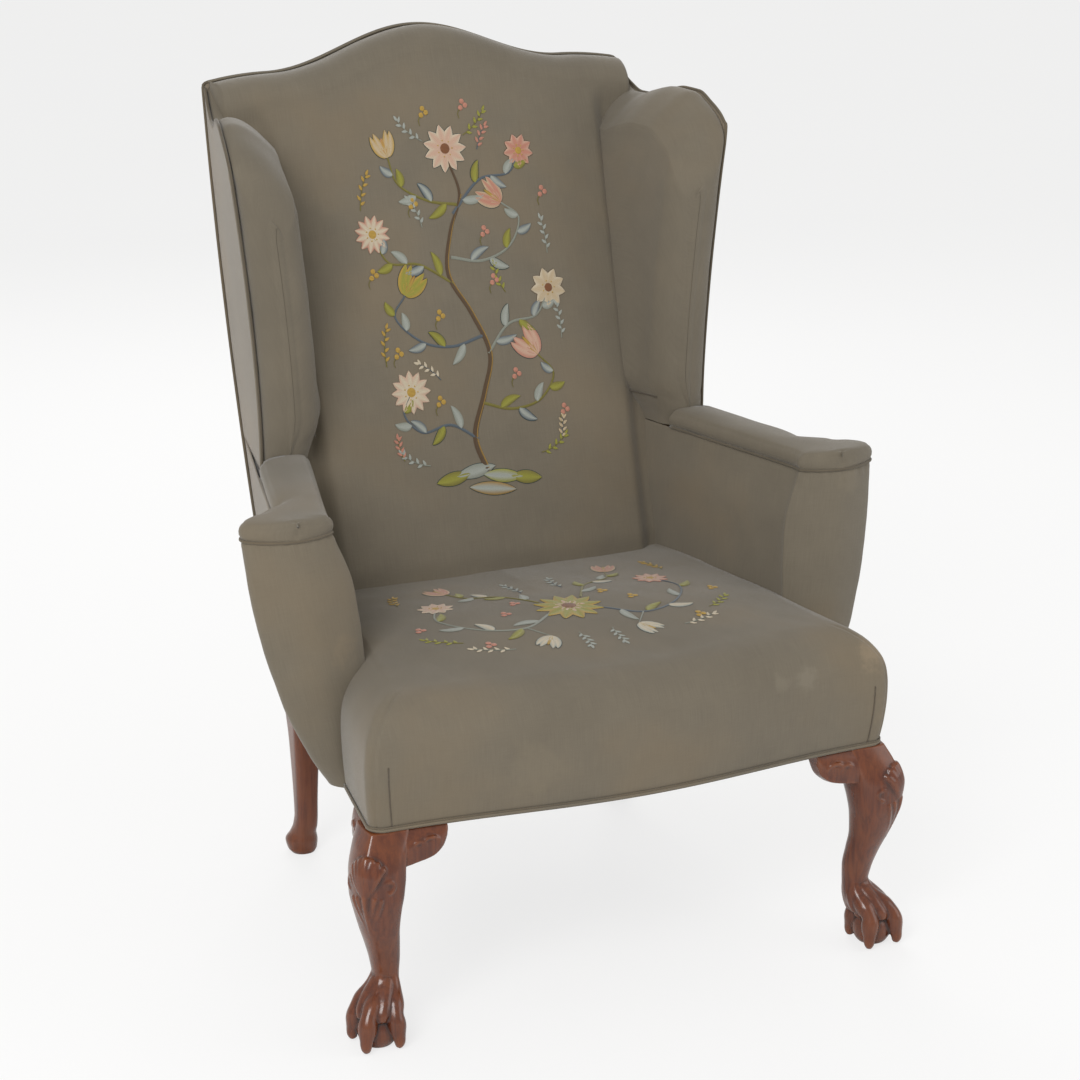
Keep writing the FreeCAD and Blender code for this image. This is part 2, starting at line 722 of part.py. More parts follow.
post_side = s.seat_half_front - skin - s.leg_post - s.clearance
post_rear = skin + s.leg_post + s.clearance
front_block = block((
    (post_side - 70, inner_face), (post_side, inner_face), (post_side, post_rear),
    (half_width(post_rear) - inner_face, post_rear), (half_width(post_rear + 70) - inner_face, post_rear + 70),
))
rail_end_y = s.seat_depth - 2 * rear_half_side - skin - s.clearance
rear_block = block((
    (half_width(rail_end_y) - inner_face - 70, rail_end_y), (half_width(rail_end_y) - inner_face, rail_end_y),
    (half_width(rail_end_y - 70) - inner_face, rail_end_y - 70),
))
blocks = [front_block, rear_block]
feature("corner_blocks", Part.makeCompound(blocks + [shape.mirror(V(0, 0, 0), V(1, 0, 0)) for shape in blocks]))


def box(low, high):
    size = high - low
    return Part.makeBox(size.x, size.y, size.z, low)


# Seat: webbing on the rails, hessian on the webbing, stuffing and the cover with its wadding
web_top = rail_top + 2 * s.web_thickness
strips = []
web_front = skin + 8
web_back = s.seat_depth - skin - 16
for centre in (-160, -80, 0, 80, 160):
    strips.append(box(V(centre - s.web_width / 2, web_front, rail_top),
                      V(centre + s.web_width / 2, web_back, web_top)))
for centre in (110, 168, 260, 330, 400, 470, 530):
    end = half_width(centre + s.web_width / 2) - skin - 8
    strips.append(box(V(-end, centre - s.web_width / 2, rail_top), V(end, centre + s.web_width / 2, web_top)))
feature("seat_webbing", strips[0].multiFuse(strips[1:]).removeSplitter())
rear_edge = s.seat_depth - skin - 12
hessian_side = skin + 5
seat_hessian = prism([
    V(half_width(web_front) - hessian_side, web_front, web_top),
    V(half_width(rear_edge) - hessian_side, rear_edge, web_top),
    V(hessian_side - half_width(rear_edge), rear_edge, web_top),
    V(hessian_side - half_width(web_front), web_front, web_top),
], V(0, 0, s.hessian_thickness))
for post in (arm_post, back_post):
    grown = post.BoundBox
    hole = box(V(grown.XMin, grown.YMin, rail_top) - V(1, 1, 0), V(grown.XMax, grown.YMax, deck) + V(1, 1, 0))
    trimmed = hole.common(box(V(0, 0, rail_top), V(1000, 1000, deck)))
    seat_hessian = seat_hessian.cut(trimmed).cut(mirrored(trimmed))
feature("seat_hessian", seat_hessian)


def around_frame(shape):
    """A soft piece cut out where the posts and rails of the back, arms and wings pass through it."""
    members = [back_post, arm_post, arm_rail, wing_post, wing_rail]
    shape = shape.cut(members + [mirrored(member_shape) for member_shape in members])
    return max(shape.Solids, key=lambda solid: solid.Volume)


def polygon_outline(level, inset, rear):
    """The seat's outline with straight sides and cut corners."""
    bend = leg_chamfer - 0.1
    half = s.seat_half_front - inset
    right = [V(half_width(rear) - inset, rear, level), V(half_width(bend) - inset, inset + bend, level),
             V(half - bend, inset, level), V(0.48 * (half - bend), inset - 0.48 * s.front_bow, level)]
    return right + [V(0, inset - s.front_bow + 1, level)] + [V(-p.x, p.y, p.z) for p in reversed(right)]


crown_level = s.rail_bottom + s.seat_rise


def seat_core(gap):
    """The space under the seat's cover."""
    start = s.rail_bottom - 10
    rows = ((start, s.cover_thickness), (rail_top + 8, s.cover_thickness), (crown_level - 34, 16),
            (crown_level - 12, 36), (crown_level - 4, 64))
    return carved([polygon_outline(level - gap, inset + gap, s.inside_back_foot + 60) for level, inset in rows])


arms = arm_form(-s.clearance)
back_space = back_form(-s.clearance)
seat_cover = seat_form().cut(arms).cut(mirrored(arms)).cut(back_space).cut(seat_core(0))
feature("seat_cover", around_frame(seat_cover))
seat_stuffing = above(seat_core(s.clearance), deck).cut(arms).cut(mirrored(arms)).cut(back_space)
feature("seat_stuffing", around_frame(seat_stuffing))


# Back: webbing and hessian on the front of the posts and rails, then stuffing and the inside cover
def raked_sheet(front, thickness, low, high):
    """A sheet parallel to the front faces of the posts; front is its distance before them."""
    faces = []
    for level in (low, high):
        share = (level - rail_top) / (post_top - rail_top)
        face = post_ends[0][2].y + (post_ends[1][2].y - post_ends[0][2].y) * share
        faces.append(V(-s.seat_half_front, face - front, level))
    corners = [faces[0], faces[1], faces[1] + V(0, thickness, 0), faces[0] + V(0, thickness, 0)]
    return prism(corners, V(2 * s.seat_half_front, 0, 0))


back_low = rail_top + 120
back_high = post_top - 12
post_middle = post_ends[0][0].x - s.post_width / 2
uprights = [box(V(x - s.web_width / 2, 0, back_low + 10), V(x + s.web_width / 2, 1000, back_high))
            for x in (-150, -50, 50, 150)]
crossings = [box(V(-post_middle, 0, level), V(post_middle, 1000, level + s.web_width))
             for level in (590, 700, 810, 920)]
net = uprights[0].multiFuse(uprights[1:] + crossings)
back_webbing = raked_sheet(2 * s.web_thickness, 2 * s.web_thickness, rail_top + 20, post_top).common(net)
feature("back_webbing", back_webbing.removeSplitter())
hessian_front = 2 * s.web_thickness + s.hessian_thickness
back_hessian = raked_sheet(hessian_front, s.hessian_thickness, back_low, back_high).common(
    box(V(-post_middle, 0, 0), V(post_middle, 1000, 1200)))
feature("back_hessian", around_frame(back_hessian))


def back_core(gap, thin):
    """The space under the inside back's cover, open to the rear."""
    sections = []
    for share in (-1, -0.45, 0, 0.45, 1):
        half_shift = s.side_padding + thin + gap
        top = crest(share * s.back_half_top) - 15 - gap
        shoulder = top - s.crest_roll - 6
        crown = s.back_crown * (1 - share ** 2) - 12 - gap

        def spot(depth, level):
            rise = (level - rail_top) / (s.crest_height - rail_top)
            half = rear_half(rail_top) * (1 - rise) + s.back_half_top * rise - half_shift
            return V(share * half, depth, level)

        low = rail_top - 20
        middle = (low + shoulder) / 2
        behind = 10 if not gap else -gap - skin
        sections.append([
            spot(inside_back(low) - crown, low),
            spot(inside_back(middle) - crown, middle),
            spot(inside_back(shoulder) - crown, shoulder),
            spot(inside_back(shoulder) - crown + 0.6 * s.crest_roll, top - 0.2 * s.crest_roll),
            spot(inside_back(shoulder) - crown + 1.1 * s.crest_roll, top),
            spot(outside_back(top) + behind, top),
            spot(outside_back(low) + behind, low),
        ])
    return carved(sections)


inside_back_cover = back_form(0).cut(back_core(0, 2))
feature("inside_back_cover", around_frame(inside_back_cover))
before_hessian = raked_sheet(hessian_front + s.clearance, 400, rail_top - 5, 1300)
back_stuffing = above(back_core(s.clearance, 2), deck).cut(before_hessian)
feature("back_stuffing", around_frame(back_stuffing))

# Outside back: one sheet, upright over the rails and raked above them
levels = [s.rail_bottom + share * (s.crest_height - 11 - s.rail_bottom) for share in (0, 0.15, 0.3, 0.5, 0.75, 1)]
side = [V(rear_half(level), 0, level) for level in levels]
crest_points = [V(share * s.back_half_top, 0, crest(share * s.back_half_top) - 3)
                for share in (0.85, 0.73, 0.6, 0.45, 0.3, 0.15)]
right_edge = side + crest_points
silhouette = right_edge + [V(0, 0, crest(0) - 3)] + [V(-p.x, p.y, p.z) for p in reversed(right_edge)]
tall = crest(0) + 50
profile = [V(0, outside_back(level), level) for level in (s.rail_bottom - 10, rail_top, tall)]
profile += [point - V(0, s.cover_thickness, 0) for point in reversed(profile)]
sheet_body = prism([point - V(400, 0, 0) for point in profile], V(800, 0, 0))
outside_back_cover = sheet_body.common(prism(silhouette, V(0, 1200, 0)))
feature("outside_back_cover", outside_back_cover)


# Arms: stuffing, inside cover with its scroll, outside panel and a pad on top
def arm_core(gap):
    """The space under an arm's cover, open to the outside behind the scroll."""
    sections = []
    rows = list(arm_rows())
    for level, (tip, centre, reach, inner_front, waist, inner_rear) in rows:
        inner_wall = 3 + 9 * (level - s.rail_bottom) / (s.arm_height - s.rail_bottom) + gap
        level += {s.arm_height: -12 - gap, s.rail_bottom: -20}.get(level, 0)
        wall = 12 + gap
        rear = outside_back(level) + 10
        swell = tip - inner_front
        outer = 20 if not gap else -skin - 5
        hook = V(tip * 0.55 + waist * 0.45 - wall, centre + 0.62 * reach - 2, level)
        sections.append([
            V(inner_rear + inner_wall, rear, level),
            V(inner_front + inner_wall, centre + 4, level),
            V(inner_front + 0.3 * swell, centre - reach + wall + 3, level),
            V(inner_front + 0.68 * swell, centre - reach + wall + 3, level),
            V(tip - wall, centre - 1, level),
            hook,
            V(waist - skin - wall, centre + 96, level),
            V(waist + outer, centre + 96 + (2 if not gap else 6), level),
            V(rear_half(level) + outer, rear, level),
        ])
    return carved(sections)


rail_zone = [V(half_width(0) - s.cover_thickness, 0, 0), V(half_width(700) - s.cover_thickness, 700, 0)]
rail_zone = [V(x, y, s.rail_bottom - 20) for x, y in (
    (rail_zone[0].x, 0), (rail_zone[1].x, 700), (0, 700), (0, 0))]
under_deck = prism(rail_zone, V(0, 0, deck - s.rail_bottom + 20))
arm_cover = arm_form(0).cut(arm_core(0)).cut(back_space).cut(under_deck)
padding_front = [V(-500, inside_back(level) - s.back_crown - 4, level) for level in (0, s.arm_height)]
behind_padding = prism(padding_front + [V(-500, 1200, s.arm_height), V(-500, 1200, 0)], V(1000, 0, 0))
arm_stuffing = above(arm_core(s.clearance), s.rail_bottom + 1).cut(behind_padding).cut(under_deck)
arm_stuffing = below(arm_stuffing, arm_rail_top - member - s.clearance)
pair("arm_cover", around_frame(arm_cover))
pair("arm_stuffing", around_frame(arm_stuffing))
pair("outside_arm_cover", arm_panel())
top_row = list(arm_rows())[-1][1]
pad_rows = ((s.clearance, 1), (0.4 * s.arm_pad_height, -3.5), (0.75 * s.arm_pad_height, -1),
            (s.arm_pad_height, 14))
arm_pad = loft([arm_outline(s.arm_height + rise, top_row, inset) for rise, inset in pad_rows])
behind_pad = box(V(0, s.wing_front - 14 - s.clearance, s.arm_height - 50), V(600, 900, s.arm_height + 100))
pair("arm_top_pad", arm_pad.cut(behind_pad))


# Wings: stuffing, inside cover and outside panel
def wing_core(gap):
    """The space under a wing's cover, open to the outside and below."""
    sections = []
    for behind, share, lift in ((4, 1, -48), (50, 1, -14), (97, 1, 0), (172, 1, -19), (227, 1, -8), (300, 1, 22)):
        depth = s.wing_front + behind + (gap if behind < 10 else 0)
        low = s.arm_height - 20
        high = s.wing_top + lift - 48 - gap
        wall = 12 + gap
        outwards = 20 if not gap else -skin - 3
        middle = (low + high) / 2
        inner = [V(wing_inner(level, depth, share) + wall, depth, level) for level in (low, middle, high)]
        outer = [V(wing_outer(level, depth) + outwards, depth, level) for level in (high, middle, low)]
        sections.append(inner + outer)
    return carved(sections)


wing_cover = wing_form(0).cut(wing_core(0)).cut(back_space)
wing_stuffing = above(before_back(wing_core(s.clearance), s.clearance), s.arm_height + 1).cut(back_space)
pair("wing_cover", around_frame(wing_cover))
pair("wing_stuffing", around_frame(wing_stuffing))
pair("outside_wing_cover", wing_panel())


# Welts: fixed piping along the seams
def rope(points, radius):
    """A six-sided cord along a path, mitred at its corners."""
    sections = []
    for i, point in enumerate(points):
        back = points[i] - points[i - 1] if i else points[1] - points[0]
        ahead = points[i + 1] - points[i] if i + 1 < len(points) else back
        back.normalize()
        ahead.normalize()
        bisector = (back + ahead).normalize()
        stretch = 1 / max(bisector.dot(ahead), 0.5)
        first = V(*rope_side) if abs(bisector.dot(V(*rope_side))) < 0.9 else V(0, 0, 1)
        across = bisector.cross(first).normalize()
        up = across.cross(bisector)
        section = []
        for k in range(6):
            turn = math.pi * k / 3
            section.append(point + across * (radius * math.cos(turn)) + up * (radius * math.sin(turn)))
        sections.append(section)
    return carved(sections)


rope_side = (0.0, 0.98, 0.2)


def band(outer, inner, low, high):
    """A flat ring between two outlines, from one level to another."""
    rise = V(0, 0, high - low)
    return Part.Face(outer(low)).extrude(rise).cut(Part.Face(inner(low)).extrude(rise))


welt = 2 * s.welt_radius
seat_welt = band(lambda level: seat_outline(level, -welt, 139), lambda level: seat_outline(level, -1.1, 139),
                 s.rail_bottom + 0.5, s.rail_bottom + 0.5 + welt)
seat_welt = seat_welt.cut(box(V(-600, 139 - 5, 0), V(600, 900, 900)))
feature("seat_welt", seat_welt)
arm_welt = band(lambda level: arm_outline(level, top_row, -welt), lambda level: arm_outline(level, top_row, -1.5),
                s.arm_height + s.clearance, s.arm_height + s.clearance + welt)
arm_welt = arm_welt.cut(behind_pad).cut(mirrored(behind_pad))
pair("arm_welt", arm_welt)

lift_over = s.welt_radius + s.clearance
front_depth = s.wing_front + 10 - lift_over
path = []
for level in (625, 700, 790, 880, 960, s.wing_top - 51 + lift_over):
    path.append(V(wing_outer(level, front_depth) - 0.1, front_depth, level))
for behind, drawn_in, share, lift in wing_rows[3:]:
    depth = s.wing_front + behind
    level = s.wing_top + lift - 8 + lift_over
    path.append(V(wing_outer(level, depth) + 0.4, depth, level))
last = path[-1] - path[-2]
path[-1] = path[-1] - last * ((path[-1].y + 8 - outside_back(path[-1].z) + skin) / last.y
                              if path[-1].y + 8 > outside_back(path[-1].z) - skin else 0)
pair("wing_welt", rope(path, s.welt_radius))
steps = [s.rail_bottom + share * (s.crest_height - 25 - s.rail_bottom) / 9 for share in range(10)]
side_path = [V(rear_half(level) + lift_over + 0.9, outside_back(level) - 0.5, level) for level in steps]
crest_path = [V(p.x, outside_back(p.z) + 0.6, p.z + lift_over + 0.1) for p in crest_points]
corner = V(s.back_half_top + 2.2, outside_back(s.crest_height - 8) + 0.2, s.crest_height - 8)
half_path = side_path + [corner] + crest_path
whole_path = half_path + [V(0, outside_back(crest(0)) + 0.6, crest(0) - 3 + lift_over + 0.1)]
whole_path += [V(-p.x, p.y, p.z) for p in reversed(half_path)]
feature("back_welt", rope(whole_path, s.welt_radius))

# Dust cover under the seat, held by tacks
sheet_top = s.rail_bottom - s.clearance
sheet_low = sheet_top - 1
edge = skin + s.rail_thickness - 8
corner_cut = 78
dust_half = [(0, edge), (s.seat_half_front - corner_cut - 30, edge),
             (half_width(corner_cut + 30) - edge, corner_cut + 30),
             (half_width(rail_end_y - 6) - edge, rail_end_y - 6), (0, rail_end_y + 8)]
dust_half[3:4] = [dust_half[3], (rear_centre.x - rear_half_side - 4, rail_end_y - 6),
                  (rear_centre.x - rear_half_side - 4, rail_end_y + 8)]
right_side = [V(x, y, sheet_low) for x, y in dust_half if x > 0]
outline = right_side + [V(-p.x, p.y, p.z) for p in reversed(right_side)]
feature("dust_cover", prism(outline, V(0, 0, 1)))


def tack(across, along):
    """A six-sided tack head under the dust cover."""
    centre = V(across, along, sheet_low - s.clearance)
    return carved([ring(centre + V(0, 0, drop), V(0, 0, 1), share * s.tack_radius, 6)
                   for drop, share in ((-1.5, 0.5), (0, 1))])


spots = [(x, edge + 5) for x in (-210, -105, 0, 105, 210)]
spots += [(x, rail_end_y + 2) for x in (-165, -55, 55, 165)]
for along in (150, 250, 350, 450):
    across = half_width(along) - edge - 5
    spots += [(across, along), (-across, along)]
feature("cover_tacks", Part.makeCompound([tack(across, along) for across, along in spots]))

# Checks and export
doc.recompute()
bounds = FreeCAD.BoundBox()
os.makedirs("parts", exist_ok=True)
for piece in pieces:
    faults = [state for state in piece.State if state in ("Invalid", "Error")]
    if faults or piece.Shape.isNull() or not piece.Shape.isValid():
        raise RuntimeError("Piece %s is not sound: %s" % (piece.Label, faults))
    bounds.add(piece.Shape.BoundBox)
    piece.Shape.exportStep("parts/%s.step" % piece.Label)
print(len(pieces), "pieces; bounds", bounds)
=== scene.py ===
import bpy
import json
import math
import numpy as np
from mathutils import Matrix, Vector
from mathutils.bvhtree import BVHTree

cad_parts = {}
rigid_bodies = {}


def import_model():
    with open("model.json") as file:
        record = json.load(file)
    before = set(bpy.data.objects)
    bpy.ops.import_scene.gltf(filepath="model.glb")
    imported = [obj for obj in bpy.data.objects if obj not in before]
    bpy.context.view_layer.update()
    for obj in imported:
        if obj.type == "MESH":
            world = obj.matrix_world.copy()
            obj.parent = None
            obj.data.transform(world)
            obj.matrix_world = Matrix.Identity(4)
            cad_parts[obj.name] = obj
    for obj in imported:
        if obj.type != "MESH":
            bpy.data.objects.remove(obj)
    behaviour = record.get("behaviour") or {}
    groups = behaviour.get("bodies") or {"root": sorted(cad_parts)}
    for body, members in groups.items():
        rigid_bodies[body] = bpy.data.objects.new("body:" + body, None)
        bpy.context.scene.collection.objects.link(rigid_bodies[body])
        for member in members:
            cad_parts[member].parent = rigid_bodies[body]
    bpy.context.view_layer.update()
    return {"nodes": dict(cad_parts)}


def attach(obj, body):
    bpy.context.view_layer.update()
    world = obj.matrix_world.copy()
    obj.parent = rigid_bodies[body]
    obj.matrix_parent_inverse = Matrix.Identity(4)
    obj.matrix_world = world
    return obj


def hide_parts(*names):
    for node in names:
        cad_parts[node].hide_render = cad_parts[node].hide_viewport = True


# Upholstered wing chair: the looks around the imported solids.
# Shapes are worked out in millimetres in the drawing frame of the chair: X across, Y from the face of
# the front corners to the back, Z up from the floor. toFrame turns them into metres in the shared frame.

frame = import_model()
frontFace = -358.9
rng = np.random.default_rng(7)


def toFrame(points):
    return (np.asarray(points, float) + [0, frontFace, 0]) / 1000


# Curves and number helpers
def ease(value, low, high):
    # 0 below low, 1 above high, and 3t^2 - 2t^3 between them
    share = np.clip((np.asarray(value, float) - low) / (high - low), 0, 1)
    return share * share * (3 - 2 * share)


def hermite(places, values, at):
    # smooth curve through values without overshoot: slopes are the harmonic mean of both sides' slopes
    places = np.asarray(places, float)
    values = np.asarray(values, float)
    at = np.clip(np.asarray(at, float), places[0], places[-1])
    run = np.diff(places)
    slope = np.diff(values, axis=0) / (run[:, None] if values.ndim > 1 else run)
    product = slope[:-1] * slope[1:]
    mean = 2 * product / np.where(np.abs(slope[:-1] + slope[1:]) < 1e-9, 1, slope[:-1] + slope[1:])
    inner = np.where(product > 0, mean, 0)
    slopes = np.concatenate([slope[:1], inner, slope[-1:]])
    k = np.clip(np.searchsorted(places, at, side="right") - 1, 0, len(places) - 2)
    h = run[k]
    t = (at - places[k]) / h
    if values.ndim > 1:
        h, t = h[..., None], t[..., None]
    return (values[k] * (1 + 2 * t) * (1 - t) ** 2 + slopes[k] * h * t * (1 - t) ** 2
            + values[k + 1] * t * t * (3 - 2 * t) + slopes[k + 1] * h * t * t * (t - 1))


def spline(points, counts):
    # Catmull-Rom curve through points; counts gives the steps of each stretch
    points = np.asarray(points, float)
    before = np.concatenate([2 * points[:1] - points[1:2], points[:-1]])
    after = np.concatenate([points[1:], 2 * points[-1:] - points[-2:-1]])
    tangent = (after - before) / 2
    rows = []
    for i, count in enumerate(counts):
        t = (np.arange(count) / count)[:, None]
        rows.append(points[i] * (2 * t**3 - 3 * t**2 + 1) + tangent[i] * (t**3 - 2 * t**2 + t)
                    + points[i + 1] * (3 * t**2 - 2 * t**3) + tangent[i + 1] * (t**3 - t**2))
    rows.append(points[-1:])
    return np.concatenate(rows)


def unit(vectors):
    return vectors / np.maximum(np.linalg.norm(vectors, axis=-1, keepdims=True), 1e-9)


# Fields of soft unevenness: sums of sines with random directions, the same on every run
waves = rng.normal(size=(24, 3))
phases = rng.uniform(0, 6.283, 24)


def unevenness(points, size):
    # mean of eight sines whose wavelengths lie around size, in millimetres
    total = np.zeros(points.shape[:-1])
    for i in range(8):
        total += np.sin(points @ (waves[i] * 3.6 / size) + phases[i])
    return total / 8


def softUnevenness(points, size, high, shift, smaller, low):
    # coarse and finer unevenness together; the shift keeps the two fields apart
    return unevenness(points, size) * high + unevenness(points + shift, smaller) * low


def gridNormals(grid):
    along = np.gradient(grid, axis=0)
    across = np.gradient(grid, axis=1)
    return unit(np.cross(along, across))


def normalsDown(grid, row, column, axis):
    # normals turned so that the one at this row and column points down its axis
    normals = gridNormals(grid)
    return normals * np.sign(normals[row, column, axis]) * -1


# Meshes
def addMesh(name, points, faces, uv=None, smooth=True, inFrame=False):
    mesh = bpy.data.meshes.new(name)
    mesh.from_pydata(points if inFrame else toFrame(points), [], faces)
    if uv is not None:
        layer = mesh.uv_layers.new(name="cloth")
        corners = np.empty(len(mesh.loops), int)
        mesh.loops.foreach_get("vertex_index", corners)
        layer.data.foreach_set("uv", np.asarray(uv, np.float32)[corners].ravel())
    mesh.polygons.foreach_set("use_smooth", np.full(len(mesh.polygons), smooth))
    mesh.validate()
    mesh.update()
    piece = bpy.data.objects.new(name, mesh)
    bpy.context.scene.collection.objects.link(piece)
    return piece


def gridFaces(rows, columns, closed=False, start=0):
    row = np.arange(rows - 1)[:, None]
    column = np.arange(columns if closed else columns - 1)[None, :]
    following = (column + 1) % columns
    faces = np.stack([row * columns + column, row * columns + following,
                      (row + 1) * columns + following, (row + 1) * columns + column], axis=-1)
    return faces.reshape(-1, 4) + start


def gridUv(grid):
    # distance along the rows and up the columns, in metres
    across = np.linalg.norm(np.diff(grid, axis=1), axis=-1)
    up = np.linalg.norm(np.diff(grid, axis=0), axis=-1)
    u = np.concatenate([np.zeros((len(grid), 1)), np.cumsum(across, axis=1)], axis=1)
    u = u - u[:, u.shape[1] // 2][:, None]
    v = np.concatenate([np.zeros((1, grid.shape[1])), np.cumsum(up, axis=0)])
    return np.stack([u, v], axis=-1).reshape(-1, 2) / 1000


def sheetPiece(name, grid, flip=False):
    faces = gridFaces(*grid.shape[:2])
    if flip:
        faces = faces[:, ::-1]
    return addMesh(name, grid.reshape(-1, 3), faces.tolist(), gridUv(grid))


def thickPiece(name, grid, thickness, flip=False):
    # a sheet with a back face and rims: the back lies a thickness under the front
    rows, columns = grid.shape[:2]
    normals = gridNormals(grid) * (-1 if flip else 1)
    back = grid - normals * thickness
    front = gridFaces(rows, columns)
    rear = gridFaces(rows, columns, start=rows * columns)[:, ::-1]
    rim = np.concatenate([np.arange(columns), np.arange(1, rows) * columns + columns - 1,
                          (rows - 1) * columns + np.arange(columns - 2, -1, -1),
                          np.arange(rows - 2, 0, -1) * columns])
    following = np.roll(rim, -1)
    size = rows * columns
    edge = np.stack([rim, rim + size, following + size, following], axis=-1)
    faces = np.concatenate([front, rear, edge])
    if flip:
        faces = faces[:, ::-1]
    uv = gridUv(grid)
    return addMesh(name, np.concatenate([grid.reshape(-1, 3), back.reshape(-1, 3)]), faces.tolist(),
                   np.concatenate([uv, uv]))


def tubeGrid(path, radius, sides=10, up=(0, 0, 1)):
    # rings round a path; each ring lies across the path's direction
    path = np.asarray(path, float)
    radius = np.broadcast_to(np.asarray(radius, float), (len(path),))
    tangent = unit(np.gradient(path, axis=0))
    side = unit(np.cross(tangent, np.asarray(up, float)))
    other = np.cross(side, tangent)
    turn = np.linspace(0, 2 * np.pi, sides, endpoint=False)
    across, over = np.cos(turn)[None, :, None], np.sin(turn)[None, :, None]
    return path[:, None] + radius[:, None, None] * (across * side[:, None] + over * other[:, None])


def tubeFaces(rows, sides, start=0):
    faces = gridFaces(rows, sides, closed=True, start=start).tolist()
    faces.append((start + np.arange(sides)[::-1]).tolist())
    faces.append((start + (rows - 1) * sides + np.arange(sides)).tolist())
    return faces


def tubePiece(name, path, radius, sides=10):
    grid = tubeGrid(path, radius, sides)
    return addMesh(name, grid.reshape(-1, 3), tubeFaces(len(grid), sides), gridUv(grid))


def mirrored(grid):
    return grid * [-1, 1, 1]


def join(name, parts):
    # several (points, faces) shapes in one mesh
    points, faces, start = [], [], 0
    for partPoints, partFaces in parts:
        partPoints = np.asarray(partPoints, float).reshape(-1, 3)
        points.append(partPoints)
        faces += [[int(corner) + start for corner in face] for face in partFaces]
        start += len(partPoints)
    return addMesh(name, np.concatenate(points), faces)


# Shader graphs: sockets that add, multiply and mix like numbers
class Socket:
    def __init__(self, graph, output):
        self.graph = graph
        self.output = output

    def math(self, operation, *others):
        return self.graph.node("ShaderNodeMath", inputs=(self,) + others, operation=operation)

    def __add__(self, other):
        return self.math("ADD", other)

    def __sub__(self, other):
        return self.math("SUBTRACT", other)

    def __mul__(self, other):
        return self.math("MULTIPLY", other)

    def between(self, low, high):
        # 0 at low, 1 at high, smooth between them
        return self.graph.node("ShaderNodeMapRange", inputs=(self, low, high),
                               interpolation_type="SMOOTHSTEP")


class Graph:
    def __init__(self, name):
        self.material = bpy.data.materials.new(name)
        self.material.use_nodes = True
        self.nodes = self.material.node_tree.nodes
        self.links = self.material.node_tree.links
        self.shader = self.nodes["Principled BSDF"]

    def put(self, target, value):
        if isinstance(value, Socket):
            self.links.new(value.output, target)
        elif hasattr(target, "default_value"):
            if isinstance(value, tuple) and len(value) == 3 and target.type == "RGBA":
                value = value + (1.0,)
            target.default_value = value

    def node(self, kind, inputs=(), output=0, named=None, **settings):
        made = self.nodes.new(kind)
        for key, value in settings.items():
            setattr(made, key, value)
        for i, value in enumerate(inputs):
            if value is not None:
                self.put(made.inputs[i], value)
        for key, value in (named or {}).items():
            self.put(made.inputs[key], value)
        return Socket(self, made.outputs[output])

    def place(self):
        return self.node("ShaderNodeTexCoord", output="Object")

    def cloth(self):
        return self.node("ShaderNodeUVMap", uv_map="cloth")

    def scaled(self, vector, scale):
        return self.node("ShaderNodeVectorMath", inputs=(vector, scale), operation="MULTIPLY")

    def noise(self, vector, scale, detail=2.0, roughness=0.5, distortion=0.0):
        named = {"Vector": vector, "Scale": scale, "Detail": detail, "Roughness": roughness,
                 "Distortion": distortion}
        return self.node("ShaderNodeTexNoise", named=named)

    def mix(self, share, first, second, blend="MIX"):
        made = self.nodes.new("ShaderNodeMix")
        made.data_type = "RGBA"
        made.blend_type = blend
        self.put(made.inputs[0], share)
        self.put(made.inputs[6], first)
        self.put(made.inputs[7], second)
        return Socket(self, made.outputs[2])

    def attribute(self, name):
        return self.node("ShaderNodeAttribute", output="Color", attribute_name=name)

    def split(self, vector, output):
        return self.node("ShaderNodeSeparateXYZ", inputs=(vector,), output=output)

    def bump(self, height, strength, distance):
        named = {"Height": height, "Strength": strength, "Distance": distance}
        return self.node("ShaderNodeBump", named=named)

    def finish(self, **values):
        for key, value in values.items():
            self.put(self.shader.inputs[key.replace("_", " ")], value)
        return self.material


# Materials
weaveRun = 5200  # radians of weave a metre, a thread every 1.2 mm


